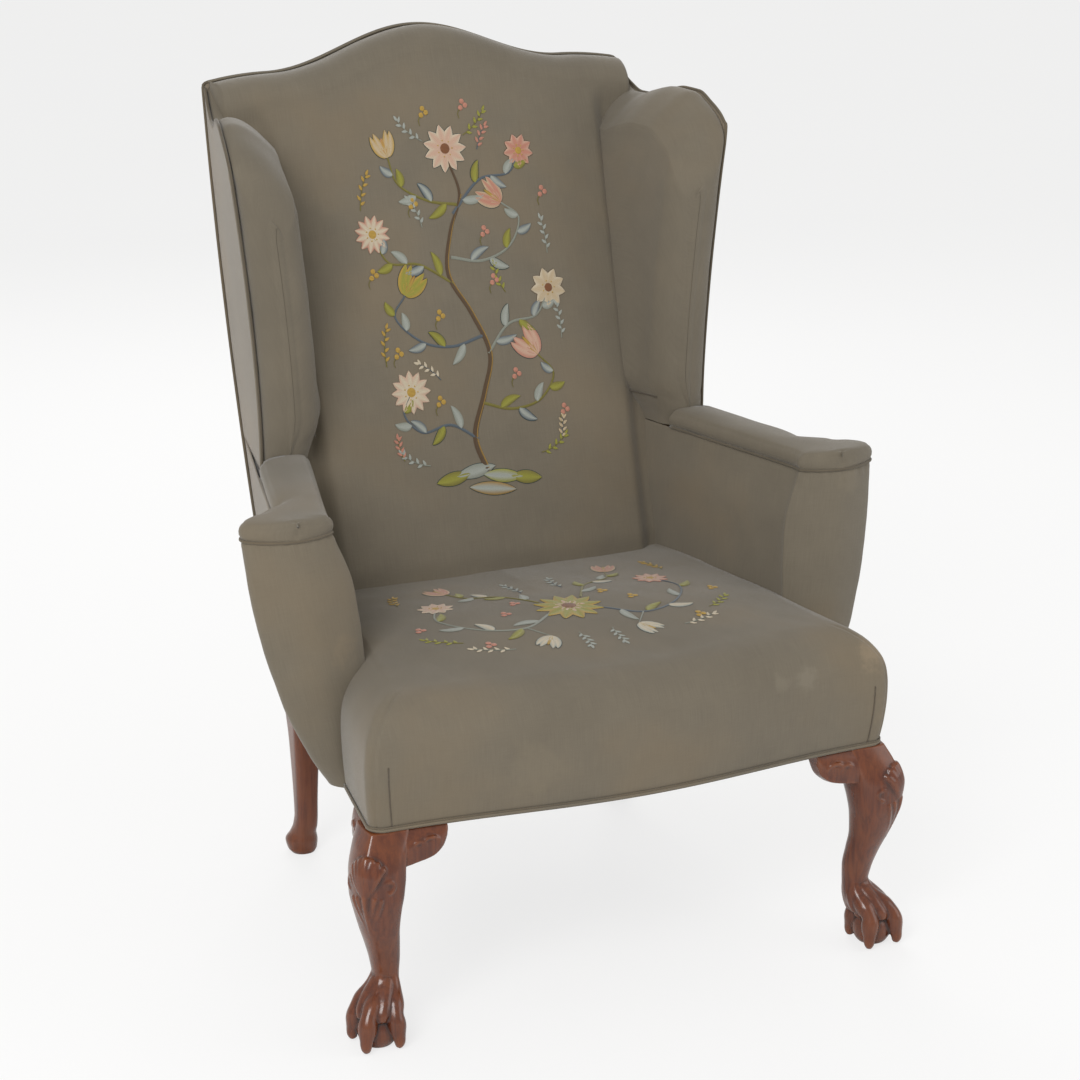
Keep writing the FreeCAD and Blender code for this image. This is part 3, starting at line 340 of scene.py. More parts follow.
def makeCloth(name, colour, slub=0.10, drift=0.10, wearAndLight=()):
    # slub is how much single threads differ in tone, drift how much the whole cloth does
    g = Graph(name)
    uv = g.cloth()
    u, v = g.split(uv, "X"), g.split(uv, "Y")
    # plain weave: warp and weft ribs whose height is the product of two sines
    warp = (u * weaveRun).math("SINE")
    weft = (v * weaveRun).math("SINE")
    weave = warp * weft
    # slubs: thicker threads, long along the warp and short across it
    slubs = g.noise(g.scaled(uv, (900.0, 26.0, 1.0)), 1.0, 3.0, 0.6)
    cross = g.noise(g.scaled(uv, (40.0, 800.0, 1.0)), 1.0, 2.0, 0.6)
    fine = g.noise(g.scaled(uv, (1500.0, 1500.0, 1.0)), 1.0, 1.0)
    cloud = g.noise(g.place(), 5.0, 3.0, 0.55)
    spots = g.noise(g.place(), 23.0, 2.0, 0.5)
    dark = tuple(c * 0.78 for c in colour)
    light = tuple(min(c * 1.22, 1.0) for c in colour)
    shade = (slubs - 0.5) * (slub * 5) + (cross - 0.5) * (slub * 2.4) + (fine - 0.5) * 0.35 + 0.5
    shade = shade + (cloud - 0.5) * (drift * 6) + (spots - 0.5) * drift * 2
    tone = g.mix(shade.between(0.0, 1.0), dark, light)
    warm = (colour[0] * 1.16, colour[1] * 1.0, colour[2] * 0.80)
    tone = g.mix((cloud - 0.45).between(0.0, 0.28) * 0.35, tone, warm)
    for centre, radius, stainAndLightTone, amount in wearAndLight:
        # stains and scuffs, and patches of painted light: soft-edged spots round a point of the chair
        away = g.node("ShaderNodeVectorMath", inputs=(g.place(), tuple(toFrame(centre))), output="Value",
                      operation="DISTANCE")
        broken = g.noise(g.place(), 60.0, 4.0, 0.7)
        mark = (away + (broken - 0.5) * radius * 1.6).between(radius, radius * 0.25) * amount
        tone = g.mix(mark, tone, stainAndLightTone)
    bump = g.bump(weave * 0.5 + slubs * 1.2 + cross * 0.7 + fine * 0.5, 0.32, 0.0004)
    rough = (slubs - 0.5) * 0.12 + 0.86
    return g.finish(Base_Color=tone, Roughness=rough, Normal=bump, Sheen_Weight=0.25,
                    Sheen_Roughness=0.45, Specular_IOR_Level=0.25)


def makeWood():
    g = Graph("mahogany")
    place = g.place()
    # grain runs up the legs: noise stretched along Z
    grain = g.noise(g.scaled(place, (170.0, 170.0, 9.0)), 1.0, 5.0, 0.6, 0.6)
    pores = g.noise(g.scaled(place, (900.0, 900.0, 40.0)), 1.0, 2.0, 0.5)
    cloud = g.noise(place, 16.0, 2.0, 0.5)
    tone = g.mix(grain.between(0.32, 0.68), (0.078, 0.017, 0.006), (0.140, 0.034, 0.010))
    tone = g.mix((cloud - 0.4).between(0.0, 0.3) * 0.40, tone, (0.190, 0.055, 0.015))
    tone = g.mix(pores.between(0.62, 0.75) * 0.5, tone, (0.045, 0.010, 0.004))
    hollow = g.split(g.attribute("hollow"), "X")
    edge = g.split(g.attribute("hollow"), "Y")
    # painted shade: the carving's hollows are darkened almost to black, where shade falls; the raised edges
    # are made lighter
    tone = g.mix(hollow * 0.92, tone, (0.018, 0.005, 0.003))
    tone = g.mix(edge * 0.40, tone, (0.30, 0.095, 0.026))
    rough = (grain - 0.5) * 0.10 + hollow * 0.25 + 0.24
    return g.finish(Base_Color=tone, Roughness=rough, Coat_Weight=0.35, Coat_Roughness=0.16,
                    Normal=g.bump(grain * 0.4 + pores * 0.4, 0.08, 0.0003))


def makePlainWood():
    g = Graph("frameWood")
    place = g.place()
    grain = g.noise(g.scaled(place, (60.0, 60.0, 14.0)), 1.0, 5.0, 0.6, 0.4)
    tone = g.mix(grain.between(0.3, 0.7), (0.38, 0.25, 0.13), (0.56, 0.41, 0.25))
    return g.finish(Base_Color=tone, Roughness=(grain - 0.5) * 0.2 + 0.7, Normal=g.bump(grain, 0.3, 0.0006))


def makeThread():
    # crewel wool: colour from the stitches, ribs along each stitch's own direction
    g = Graph("crewelWool")
    uv = g.cloth()
    colour = g.attribute("wool")
    ribs = (g.split(uv, "Y") * 3600).math("SINE")
    ply = g.noise(g.scaled(uv, (500.0, 2600.0, 1.0)), 1.0, 2.0)
    # painted shade: the wool is darkened to half in the grooves between the stitch ribs, mixed with the ply's
    # random tone
    between = g.mix(1.0, colour, (0.50, 0.48, 0.44), "MULTIPLY")
    tone = g.mix((ribs * 0.25 + ply * 0.7).between(0.1, 0.75) * 0.55 + 0.2, between, colour)
    return g.finish(Base_Color=tone, Roughness=(ply - 0.5) * 0.2 + 0.72, Sheen_Weight=0.3,
                    Normal=g.bump(ribs * 0.6 + ply * 0.6, 0.55, 0.0005))


def makeSimple(name, dark, light, scale, roughness, metallic=0.0):
    g = Graph(name)
    speck = g.noise(g.scaled(g.place(), scale), 1.0, 4.0, 0.6)
    tone = g.mix(speck.between(0.3, 0.7), dark, light)
    return g.finish(Base_Color=tone, Roughness=(speck - 0.5) * 0.2 + roughness, Metallic=metallic,
                    Normal=g.bump(speck, 0.3, 0.0005))


clothColour = (0.166, 0.142, 0.105)
# stains and scuffs, and one patch of painted light on the right arm: centre in millimetres, radius in metres,
# colour, strength
seatWear = (
    ((236, -8, 400), 0.022, (0.24, 0.21, 0.16), 0.40),
    ((196, -14, 402), 0.016, (0.23, 0.20, 0.15), 0.35),
    ((345, 6, 418), 0.034, (0.30, 0.23, 0.15), 0.50),
    ((360, 20, 330), 0.040, (0.26, 0.20, 0.13), 0.35),
    ((-150, -20, 345), 0.050, (0.23, 0.19, 0.13), 0.25),
)
armWearAndLight = (
    ((-372, 150, 520), 0.010, (0.07, 0.035, 0.02), 0.80),
    ((-352, 152, 524), 0.006, (0.09, 0.04, 0.02), 0.70),
    ((-330, 150, 470), 0.030, (0.25, 0.19, 0.12), 0.30),
    # painted light: a pale patch on the inner side of the right arm's front, where the light brightens it
    ((330, 160, 380), 0.040, (0.26, 0.20, 0.13), 0.30),
    ((400, 170, 600), 0.030, (0.24, 0.20, 0.14), 0.25),
)
cloth = makeCloth("upholstery", clothColour)
seatCloth = makeCloth("seatUpholstery", clothColour, wearAndLight=seatWear)
armCloth = makeCloth("armUpholstery", clothColour, wearAndLight=armWearAndLight)
outsideCloth = makeCloth("outsideUpholstery", (0.215, 0.178, 0.130), slub=0.12)
# the welting: darker than the cover, partly the cord's own tone and partly painted shade round the cords; it
# also draws the painted shadow lines along the seat welt
weltAndShadeCloth = makeCloth("welting", (0.125, 0.103, 0.072), slub=0.2, drift=0.2)
# painted shade: the dark cloth of the thin tubes laid in the seams
seamShadowCloth = makeCloth("seamShadow", (0.095, 0.078, 0.058), slub=0.1)
wood = makeWood()
plainWood = makePlainWood()
wool = makeThread()
hair = makeSimple("hair", (0.045, 0.028, 0.018), (0.16, 0.10, 0.06), (300.0, 300.0, 300.0), 0.9)
jute = makeSimple("jute", (0.28, 0.19, 0.10), (0.48, 0.36, 0.21), (700.0, 60.0, 700.0), 0.85)
blackCotton = makeSimple("blackCotton", (0.008, 0.008, 0.009), (0.028, 0.027, 0.026),
                         (1400.0, 1400.0, 40.0), 0.9)
bluedSteel = makeSimple("bluedSteel", (0.03, 0.03, 0.035), (0.12, 0.12, 0.13),
                        (500.0, 500.0, 500.0), 0.4, 0.9)


def dress(piece, material, slot, *nodes, fill=None):
    piece.data.materials.clear()
    piece.data.materials.append(material)
    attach(piece, "root")
    if nodes:
        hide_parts(*nodes)
    return piece


def coverPair(label, grid, material, flipped, fill, *nodes):
    # the right piece and its mirror image; flipped names the side whose faces are turned over
    for side, shape in (("right", grid), ("left", mirrored(grid))):
        piece = sheetPiece(side + label, shape, flip=side == flipped)
        dress(piece, material, "upholstery_fabric", *[side + node for node in nodes], fill=fill)


print("helpers and materials ready")


# Lines that several pieces share, from the drawing of the frame
rail = dict(bottom=286, top=346, depth=612.0, halfFront=361.0, halfBack=270.0)
crestEdge, crestHump, crestHalf, humpHalf = 1105, 54, 310, 225
seamLevel = 655  # the seam between a wing and the arm below it
armTop = 613.0
insideSlope = math.tan(math.radians(19.9))
outsideSlope = math.tan(math.radians(9.6))


def halfWidth(y):
    return rail["halfFront"] - (rail["halfFront"] - rail["halfBack"]) / rail["depth"] * np.asarray(y, float)


def rearHalf(z):
    # half of the back's width: widens from the rail up to the crest, and less and less so
    share = (np.asarray(z, float) - rail["bottom"]) / (crestEdge - rail["bottom"])
    return rail["halfBack"] + (crestHalf - rail["halfBack"]) * (1 - (1 - share) ** 2)


def insideBack(z):
    # the raked front face of the back
    return 441 + (np.asarray(z, float) - 433.5) * insideSlope


def outsideBack(z):
    # the rear plane: upright beside the rails, raked above them
    return rail["depth"] + np.maximum(np.asarray(z, float) - rail["top"], 0) * outsideSlope


def crest(x):
    # a cosine hump in the middle, ends that fall by a square
    x = np.abs(np.asarray(x, float))
    hump = crestEdge + crestHump * (0.5 + 0.5 * np.cos(np.pi * np.minimum(x, humpHalf) / humpHalf))
    fall = 8 * ((x - humpHalf) / (crestHalf - humpHalf)) ** 2
    return np.where(x < humpHalf, hump, crestEdge - fall)


def seatHeight(x, y):
    # the crown: rises behind the front roll and falls towards the back
    x, y = np.asarray(x, float), np.asarray(y, float)
    across = 1 - np.clip(np.abs(x) / 330, 0, 1) ** 2.4
    return 444.5 + 17 * across * ease(y, 20, 190) * (1 - 1.05 * ease(y, 210, 450)) - 3 * ease(y, 380, 460)


# Seat: serpentine front, corner seams, swelling sides, roll and crown
seat = dict(bow=25.0, corner=16, rear=474.0, roll=52, seam=352, groove=1.5,
            grooveWidth=1.6, soft=(130, 1.6, 500, 45, 0.5))
rearY, seatHalf = seat["rear"], rail["halfFront"]
sideY = np.linspace(rearY, seat["corner"], 60)
rightSide = np.stack([halfWidth(sideY), sideY], -1)
angle = np.linspace(0, np.pi / 2, 14)[1:-1]
corner = seat["corner"]
cornerX = float(halfWidth(corner)) - corner
rightCorner = np.stack([cornerX + corner * np.cos(angle), corner - corner * np.sin(angle)], -1)
frontX = np.linspace(cornerX, -cornerX, 150)
front = np.stack([frontX, -seat["bow"] * (0.5 + 0.5 * np.cos(np.pi * frontX / cornerX))], -1)
half = np.concatenate([rightSide, rightCorner])
outline = np.concatenate([half, front, (half * [-1, 1])[::-1]])
# the side's profile: how far it stands out from the outline, and its level
profile = spline(np.array([(-1.5, 286.3), (1.5, 291), (5.0, 318), (7.3, 350), (7.3, 378), (3.8, 401),
                           (-4.5, 417), (-17, 430), (-34, 439), (-52, 444.5)]), [2, 5, 6, 5, 5, 4, 4, 4, 4])
topShares = np.linspace(0, 1, 46)[1:] ** 1.15
inwards = np.concatenate([-profile[:, 0], seat["roll"] + (seatHalf - seat["roll"]) * topShares])
rows = []
for i, d in enumerate(inwards):
    x = outline[:, 0] * (1 - d / seatHalf)
    y = outline[:, 1] + d * (1 - outline[:, 1] / rearY)
    z = np.full(len(outline), profile[i, 1]) if i < len(profile) else seatHeight(x, y)
    rows.append(np.stack([x, y, z], -1))
seatGrid = np.array(rows)
turnIn = ease(np.arange(len(inwards)), len(profile) - 8, len(profile))[:, None]
seatGrid[..., 2] += turnIn * (seatHeight(seatGrid[..., 0], seatGrid[..., 1]) - seatGrid[..., 2]) * 0.6
# corner seams: a fine groove where the front boxing meets the sides, and shallow tension pulls
seamAway = np.abs(np.abs(seatGrid[..., 0]) - seat["seam"] * (1 - inwards[:, None] / seatHalf))
onFront = (seatGrid[..., 1] < 40 + inwards[:, None]) & (inwards[:, None] < 45)
groove = np.exp(-(seamAway / seat["grooveWidth"]) ** 2) * onFront
seatNormals = normalsDown(seatGrid, 10, 135, 1)
seatGrid -= seatNormals * (groove * seat["groove"])[..., None]
soft = softUnevenness(seatGrid, *seat["soft"])
soft *= ease(np.abs(seatGrid[..., 2] - rail["bottom"]), 4, 40)
seatGrid += seatNormals * soft[..., None]
seatPiece = sheetPiece("seatCover", seatGrid, flip=True)
dress(seatPiece, seatCloth, "upholstery_fabric", "seat_cover", "seat_stuffing", fill=0.85)
print("seat", seatGrid.shape)


# Inside back: raked front with a little fullness, soft crest roll
back = dict(low=418.0, roll=34.0, crown=9.0, half=304, tuck=13, sink=7, roundDepth=36,
            soft=(150, 1.7, 300, 60, 0.5))
shares = np.linspace(-1, 1, 150)
columns = []
for share in shares:
    x = share * back["half"]
    top = float(crest(share * crestHalf)) + 1.5
    shoulder = top - back["roll"]
    crown = back["crown"] * (1 - abs(share) ** 3)
    z = np.linspace(back["low"], shoulder, 90)
    along = (z - back["low"]) / (shoulder - back["low"])
    tuck = back["tuck"] * ease(abs(x), 236, 262) * (1 - ease(z, 1030, 1080))
    fullness = crown * (0.85 + 0.5 * np.sin(np.pi * along) ** 2)
    fullness = fullness - back["sink"] * (1 - ease(z, 430, 470))
    frontLine = np.stack([insideBack(z) - fullness + tuck, z], -1)
    turn = np.linspace(0, np.pi / 2, 16)[1:]
    endY = frontLine[-1, 0]
    roll = np.stack([endY + back["roundDepth"] * (1 - np.cos(turn)) + back["roll"] * 0.15 * np.sin(turn),
                     shoulder + back["roll"] * np.sin(turn)], -1)
    rearEdge = float(outsideBack(top)) - 3
    flat = np.linspace(roll[-1, 0], rearEdge, 10)[1:]
    drop = (flat - roll[-1, 0]) / (rearEdge - roll[-1, 0])
    cap = np.stack([flat, top - 4 * drop ** 2], -1)
    line = np.concatenate([frontLine, roll, cap])
    spread = x * (1 - 0.075 * (1 - ease(line[:, 1], 420, 1100)))
    columns.append(np.stack([spread, line[:, 0], line[:, 1]], -1))
backGrid = np.array(columns).transpose(1, 0, 2)
backGrid += normalsDown(backGrid, 40, 75, 1) * softUnevenness(backGrid, *back["soft"])[..., None]
# the cloth turns round the sides to the rear plane
leftTurn, rightTurn = backGrid[:, :1].copy(), backGrid[:, -1:].copy()
for column in (leftTurn, rightTurn):
    column[..., 1] = np.maximum(column[..., 1], outsideBack(column[..., 2]) - 3)
backGrid = np.concatenate([leftTurn, backGrid, rightTurn], axis=1)
backPiece = sheetPiece("insideBackCover", backGrid)
dress(backPiece, cloth, "upholstery_fabric", "inside_back_cover", "back_stuffing", fill=0.8)
print("inside back", backGrid.shape)


# Wings: a fat front roll, a hollow inside face and a scrolled top line
wing = dict(front=470.0, flare=38.0, base=332.0, padding=84.0, nose=30, noseStart=486, dip=26,
            shoulder=50, lip=9, inset=3.0, outerRound=30, innerRound=32, hump=8, seamDepth=1.6,
            soft=(120, 1.5, -200, 40, 0.5))
# depth and level along the top
wingTopLine = np.array([(456, 985), (466, 1012), (479, 1033), (497, 1051), (519, 1064), (546, 1076),
                        (576, 1077), (613, 1068), (642, 1059), (669, 1059), (697, 1069), (722, 1085),
                        (745, 1098)], float)


def wingTop(y):
    return hermite(wingTopLine[:, 0], wingTopLine[:, 1], y)


def wingOuter(z, y):
    # the wing's outside, from its flared front edge to the back's edge
    rise = np.clip((z - seamLevel) / 422, 0, 1.1)
    frontHalf = wing["base"] + wing["flare"] * rise ** 1.6
    along = np.clip((y - wing["front"]) / (outsideBack(z) - wing["front"]), 0, 1)
    return frontHalf * (1 - along) + rearHalf(z) * along


def wingInner(z, y):
    # the wing's inside, hollow towards the back; below the seam it eases into the arm's face
    join = 223 + 0.07 * (z - seamLevel)
    start = wingOuter(z, wing["front"]) - wing["padding"] + 10 * np.clip((z - 960) / 60, 0, 1)
    run = np.clip((y - wing["front"]) / (insideBack(z) - wing["front"]), 0, 1)
    hollow = 6 * np.sin(np.pi * run)
    face = start + (join - start) * (1 - (1 - run) ** 1.5) + hollow
    armFace = 330 - 107 * np.clip((y - 229) / 434, 0, 1) - 1.5
    return face + (np.maximum(armFace, face) - face) * (1 - ease(z, armTop, 690))


noseTurn = np.linspace(0, np.pi / 2, 16)
depths = np.concatenate([456 + wing["nose"] * (1 - np.cos(noseTurn))[:-1],
                         np.linspace(wing["noseStart"], 744, 58)])
sections = []
for y in depths:
    # nose is 1 at the very front and 0 where the quarter-round front edge ends
    nose = 1 - math.sqrt(max(1 - max((wing["noseStart"] - y) / wing["nose"], 0) ** 2, 0))
    top = float(wingTop(y)) - wing["dip"] * nose
    softness = wing["shoulder"] * (1 - 0.55 * nose)
    z = np.linspace(armTop, top - wing["lip"], 46)
    outer = np.stack([wingOuter(z, y) - wing["inset"] - wing["outerRound"] * nose, z], -1)
    zIn = np.linspace(top - softness, armTop, 50)
    inner = np.stack([wingInner(zIn, y) + wing["innerRound"] * nose, zIn], -1)
    a, b = outer[-1], inner[0]
    turn = np.linspace(0, np.pi / 2, 20)[1:-1]
    # over the top: a hump of a sine on a curve that falls ever faster towards the inside
    rise = np.sin(turn)
    over = np.stack([b[0] + (a[0] - b[0]) * (1 - rise ** 1.6),
                     a[1] + wing["hump"] * np.sin(np.pi * rise ** 0.9) - (a[1] - b[1]) * rise ** 3.2], -1)
    loop = np.concatenate([outer, over, inner])
    sections.append(np.stack([loop[:, 0], np.full(len(loop), y), loop[:, 1]], -1))
wingGrid = np.array(sections)
# nothing lies behind the rear plane
wingGrid[..., 1] -= np.maximum(wingGrid[..., 1] - (outsideBack(wingGrid[..., 2]) - 3), 0)
seam = np.exp(-((wingGrid[..., 2] - seamLevel) / 2.2) ** 2) * wing["seamDepth"]
soft = softUnevenness(wingGrid, *wing["soft"]) - seam
wingGrid += normalsDown(wingGrid, 30, -20, 0) * soft[..., None]
# the front closes on the middle line between the outside and the inside
firstRow = wingGrid[0]
middle = (firstRow + firstRow[::-1]) / 2
cap = [middle + (firstRow - middle) * k + [0, -2.5 * (1 - k * k), 0] for k in (0.02, 0.35, 0.65, 0.88)]
wingGrid = np.concatenate([np.array(cap), wingGrid])
coverPair("WingCover", wingGrid, cloth, "left", 0.75, "_wing_cover", "_wing_stuffing")
print("wings", wingGrid.shape)


# Arms: an upturned cone in front that rolls outwards, a straight inner face
arm = dict(pull=0.55, neck=90, padLevel=606, soft=(110, 1.5, 90, 38, 0.45))
armLevels = np.array([286, 328.5, 403.7, 531.3, armTop])
armRows = np.array([
    # tip, scroll centre, roll, inner front, waist, inner rear
    (354, 174, 27, 320, 328, 248),
    (378, 178, 31, 316, 335, 236),
    (410, 186, 36, 298, 348, 218),
    (438, 205, 39, 305, 367, 221),
    (446, 215, 40, 330, 377, 223),
], float)


def armOutline(z, inset=0.0):
    # one level of the arm: from the back along the inside, round the scroll and along the outside
    tip, centre, reach, innerFront, waist, innerRear = hermite(armLevels, armRows, z)
    rear = float(outsideBack(z)) - 4
    front = centre - reach + inset
    tip, innerFront, waist = tip - inset, innerFront + inset, waist - 2.4 - inset
    middle = (tip + innerFront) / 2
    hookX, hookY = tip * 0.56 + waist * 0.44, centre + 0.66 * reach
    points = np.array([
        (innerRear + inset, rear), (innerRear * 0.5 + innerFront * 0.5, rear * 0.5 + centre * 0.5 + 4),
        (innerFront, centre + 14), (innerFront + 0.12 * (middle - innerFront), centre - 0.55 * reach),
        (middle, front), (tip - 0.13 * (tip - middle), centre - 0.52 * reach), (tip, centre + 0.06 * reach),
        (hookX, hookY), (waist + 0.16 * (hookX - waist), (2 * hookY + centre + arm["neck"]) / 3),
        (waist, centre + 92),
        (float(rearHalf(z)) * 0.5 + waist * 0.5 - 1.5, rear * 0.5 + (centre + 92) * 0.5),
        (float(rearHalf(z)) - 3, rear),
    ])
    line = spline(points, [20, 34, 12, 16, 16, 12, 14, 14, 12, 14, 14])
    return np.concatenate([line, np.full((len(line), 1), z)], -1)


levels = np.concatenate([np.linspace(286.5, 600, 84), [605, 609, 612]])
armGrid = np.array([armOutline(z, max(z - arm["padLevel"], 0) * 0.25) for z in levels])
# small puckers under the pad's cord, at the front only
pull = np.sin(armGrid[..., 0] * 0.42) * np.exp(-((armGrid[..., 2] - arm["padLevel"]) / 9.0) ** 2)
pull = pull * arm["pull"] * ease(-armGrid[..., 1], -235, -190)
soft = softUnevenness(armGrid, *arm["soft"]) + pull
armGrid += normalsDown(armGrid, 40, 66, 1) * soft[..., None]
coverPair("ArmCover", armGrid, armCloth, "right", 0.75, "_arm_cover", "_arm_stuffing")


def runOf(line):
    # the distance along a line to each of its points
    return np.concatenate([[0], np.cumsum(np.linalg.norm(np.diff(line, axis=0), axis=1))])


def atLevel(line, z):
    return np.concatenate([line, np.full((len(line), 1), z)], -1)


def resample(line, shares):
    run = runOf(line)
    return np.stack([np.interp(shares * run[-1], run, line[:, k]) for k in range(2)], -1)


# Arm pads: a rounded edge and a domed top that closes on the pad's middle line
pad = dict(innerEnd=470, outerEnd=462, edgeTop=632.5, dome=8.0, thin=3.5, soft=0.9)
padLine = armOutline(armTop)
keepFrom = np.argmax(padLine[:, 1] < pad["innerEnd"])
keepTo = len(padLine) - np.argmax(padLine[::-1, 1] < pad["outerEnd"])
padLine = resample(padLine[keepFrom:keepTo, :2], np.linspace(0, 1, 181))
noseAt = int(np.argmin(padLine[:, 1]))
stations = np.linspace(0, 1, 100) ** 0.8
innerHalf = resample(padLine[:noseAt + 1], stations)
outerHalf = resample(padLine[noseAt:][::-1], stations)
edge = np.concatenate([innerHalf, outerHalf[::-1][1:]])
middle = (innerHalf + outerHalf) / 2
spine = np.concatenate([middle, middle[::-1][1:]])
outwards = unit(edge - spine + 1e-9)
padRows = []
for rise, out in ((0.4, -2.0), (3, 0.6), (7, 2.4), (11, 2.6), (15, 1.4), (18, -0.8)):
    padRows.append(atLevel(edge + outwards * out, armTop + rise))
wide = np.linalg.norm(edge - spine, axis=1)
for share in np.linspace(0, 1, 22):
    flat = (edge - outwards * 3.0) * (1 - share) + spine * share
    height = pad["edgeTop"] + pad["dome"] * math.sqrt(1 - (1 - share) ** 2.2)
    height = height - pad["thin"] * (1 - ease(wide, 12, 34)) * share
    padRows.append(np.concatenate([flat, np.broadcast_to(height, (len(edge),))[:, None]], -1))
padGrid = np.array(padRows)
dimples = 0
for x, y, spanX, spanY, deep in ((412, 236, 10, 7, 2.4), (392, 262, 6, 9, 1.6)):
    dimples += np.exp(-(((padGrid[..., 0] - x) / spanX) ** 2 + ((padGrid[..., 1] - y) / spanY) ** 2)) * deep
padGrid[..., 2] += unevenness(padGrid, 60) * pad["soft"] - dimples
# the last column closes the pad's rear end
padGrid = np.concatenate([padGrid, padGrid[:, :1]], axis=1)
coverPair("ArmTopPad", padGrid, armCloth, "right", 0.8, "_arm_top_pad")
print("arms", armGrid.shape, padGrid.shape)


# Outside panels: cloth stretched over the frame
def sheetArea(grid):
    # the sum of the cells' areas, in square metres
    sides, ups = grid[:-1, 1:] - grid[:-1, :-1], grid[1:, :-1] - grid[:-1, :-1]
    return float(np.linalg.norm(np.cross(sides, ups), axis=-1).sum()) * 1e-6


def stretched(name, grid, thickness, material, slot, node, flip=False):
    # a thin sheet with a back face and rims, stretched over the frame
    piece = thickPiece(name, grid, thickness, flip=flip)
    dress(piece, material, slot, node)
    sheetArea(grid)


def rowsAndColumns(rows, columns):
    return np.meshgrid(rows, columns, indexing="ij")


# proud is how far a panel stands outside the frame, hem how far it ends below the top line
panel = dict(low=613.5, front=481, rear=738, proud=0.2, inset=2.6, hem=6, thickness=1.6, armLow=292,
             rearLow=286.5, rearHem=2)
share, depth = rowsAndColumns(np.linspace(0, 1, 60), np.linspace(panel["front"], panel["rear"], 60))
z = panel["low"] + (wingTop(depth) - panel["hem"] - panel["low"]) * share
y = np.minimum(depth, outsideBack(z) - panel["inset"])
wingPanel = np.stack([wingOuter(z, y) + panel["proud"], y, z], -1)
wingPanel[..., 0] += unevenness(wingPanel, 160) * 0.8
armPanel = []
for z in np.linspace(panel["armLow"], armTop, 50):
    centre, waist = hermite(armLevels, armRows[:, [1, 4]], z)
    start = np.array([waist + 0.3, centre + 88])
    end = np.array([float(rearHalf(z)) + panel["proud"], float(outsideBack(z)) - panel["inset"]])
    armPanel.append(atLevel(start + (end - start) * np.linspace(0, 1, 60)[:, None], z))
armPanel = np.array(armPanel)
armPanel[..., 0] += unevenness(armPanel, 150) * 0.8
for side, turn in (("right", 1), ("left", -1)):
    for label, grid, node in (("OutsideWingCover", wingPanel, "_outside_wing_cover"),
                              ("OutsideArmCover", armPanel, "_outside_arm_cover")):
        stretched(side + label, grid * [turn, 1, 1], panel["thickness"] * turn, outsideCloth,
                  "outside_fabric", side + node, flip=side == "right")
share, across = rowsAndColumns(np.linspace(0, 1, 80), np.linspace(-1, 1, 90))
z = panel["rearLow"] + (crest(across * crestHalf) - panel["rearHem"] - panel["rearLow"]) * share
rearPanel = np.stack([across * (rearHalf(np.minimum(z, crestEdge)) + panel["proud"]),
                      outsideBack(z) + panel["proud"], z], -1)
rearPanel[..., 1] += unevenness(rearPanel, 170) * 0.9
stretched("outsideBackCover", rearPanel, panel["thickness"], outsideCloth, "outside_fabric",
          "outside_back_cover")
print("outside panels")


# Piping: the welts along the seams, and thin dark lines beside them that paint the shade in the seams and
# along the welts
def pipe(name, path, radius, material, *nodes):
    return dress(tubePiece(name, path, radius), material, "welting", *nodes)


seatEdge = outline[(outline[:, 1] < 150)]
away = unit(np.gradient(seatEdge, axis=0))
away = np.stack([away[:, 1], -away[:, 0]], -1)
away *= np.sign(away[len(away) // 2, 1]) * -1
pipe("seatWelt", atLevel(seatEdge + away * 2.2, 288.8), 2.3, cloth, "seat_welt")
# painted shadow: a thin dark line beside the seat welt, in the welting cloth
pipe("seatWeltShadow", atLevel(seatEdge + away * 3.3, 291.9), 1.1, weltAndShadeCloth)
# painted shade: a thin dark tube down each front corner seam of the seat
cornerColumn = 74
for side, column in (("right", cornerColumn), ("left", len(outline) - 1 - cornerColumn)):
    pipe(side + "CornerSeam", seatGrid[1:18, column] + [0, -0.2, 0], 0.9, seamShadowCloth)
# painted shadow: a thin dark line under the seat welt
pipe("seatWeltUnder", atLevel(seatEdge + away * 1.6, 286.6), 1.3, weltAndShadeCloth)

padFoot = atLevel(edge + outwards * 0.6, armTop + 0.2)
frontY = 479.5
upLevels = np.linspace(622, 1018, 40)
upPath = np.stack([wingOuter(upLevels, frontY) - 0.3, np.full(40, frontY - 1.5), upLevels], -1)
overY = np.concatenate([[481, 486], np.linspace(494, 738, 44)])
overTop = np.array([wingTop(y) - 6.5 for y in overY])
overPath = np.stack([wingOuter(overTop, overY) + 0.4, overY, overTop + 1.8], -1)
wingPath = spline(np.concatenate([upPath[:-1], overPath]), [3] * (len(upPath) + len(overPath) - 2))
for side, turn in (("right", 1), ("left", -1)):
    flip = [turn, 1, 1]
    pipe(side + "ArmWelt", padFoot * flip, 2.0, weltAndShadeCloth, side + "_arm_welt")
    pipe(side + "WingWelt", wingPath * flip, 2.2, weltAndShadeCloth, side + "_wing_welt")
    second = wingPath + [0.6, 4.2, 0] * ease(1030 - wingPath[:, 2:3], 0, 12)
    second = second - [0, 0, 4.0] * ease(wingPath[:, 1:2], 484, 492)
    pipe(side + "WingPiping", second * flip, 1.5, outsideCloth)
    # painted shade: a thin dark tube along the seam where the wing meets the arm
    innerSeamY = np.linspace(474, 560, 30)
    seamLine = np.stack([wingInner(seamLevel, innerSeamY) - 0.2, innerSeamY, np.full(30, seamLevel)], -1)
    pipe(side + "InnerSeam", seamLine * flip, 0.9, seamShadowCloth)
sideLevels = np.linspace(288, 1086, 60)
sidePath = np.stack([rearHalf(sideLevels) + 3.2, outsideBack(sideLevels) - 0.6, sideLevels], -1)
crestPathHalf = 306
crestX = np.linspace(crestPathHalf, -crestPathHalf, 90)
crestZ = crest(crestX * crestHalf / crestPathHalf) + 0.2
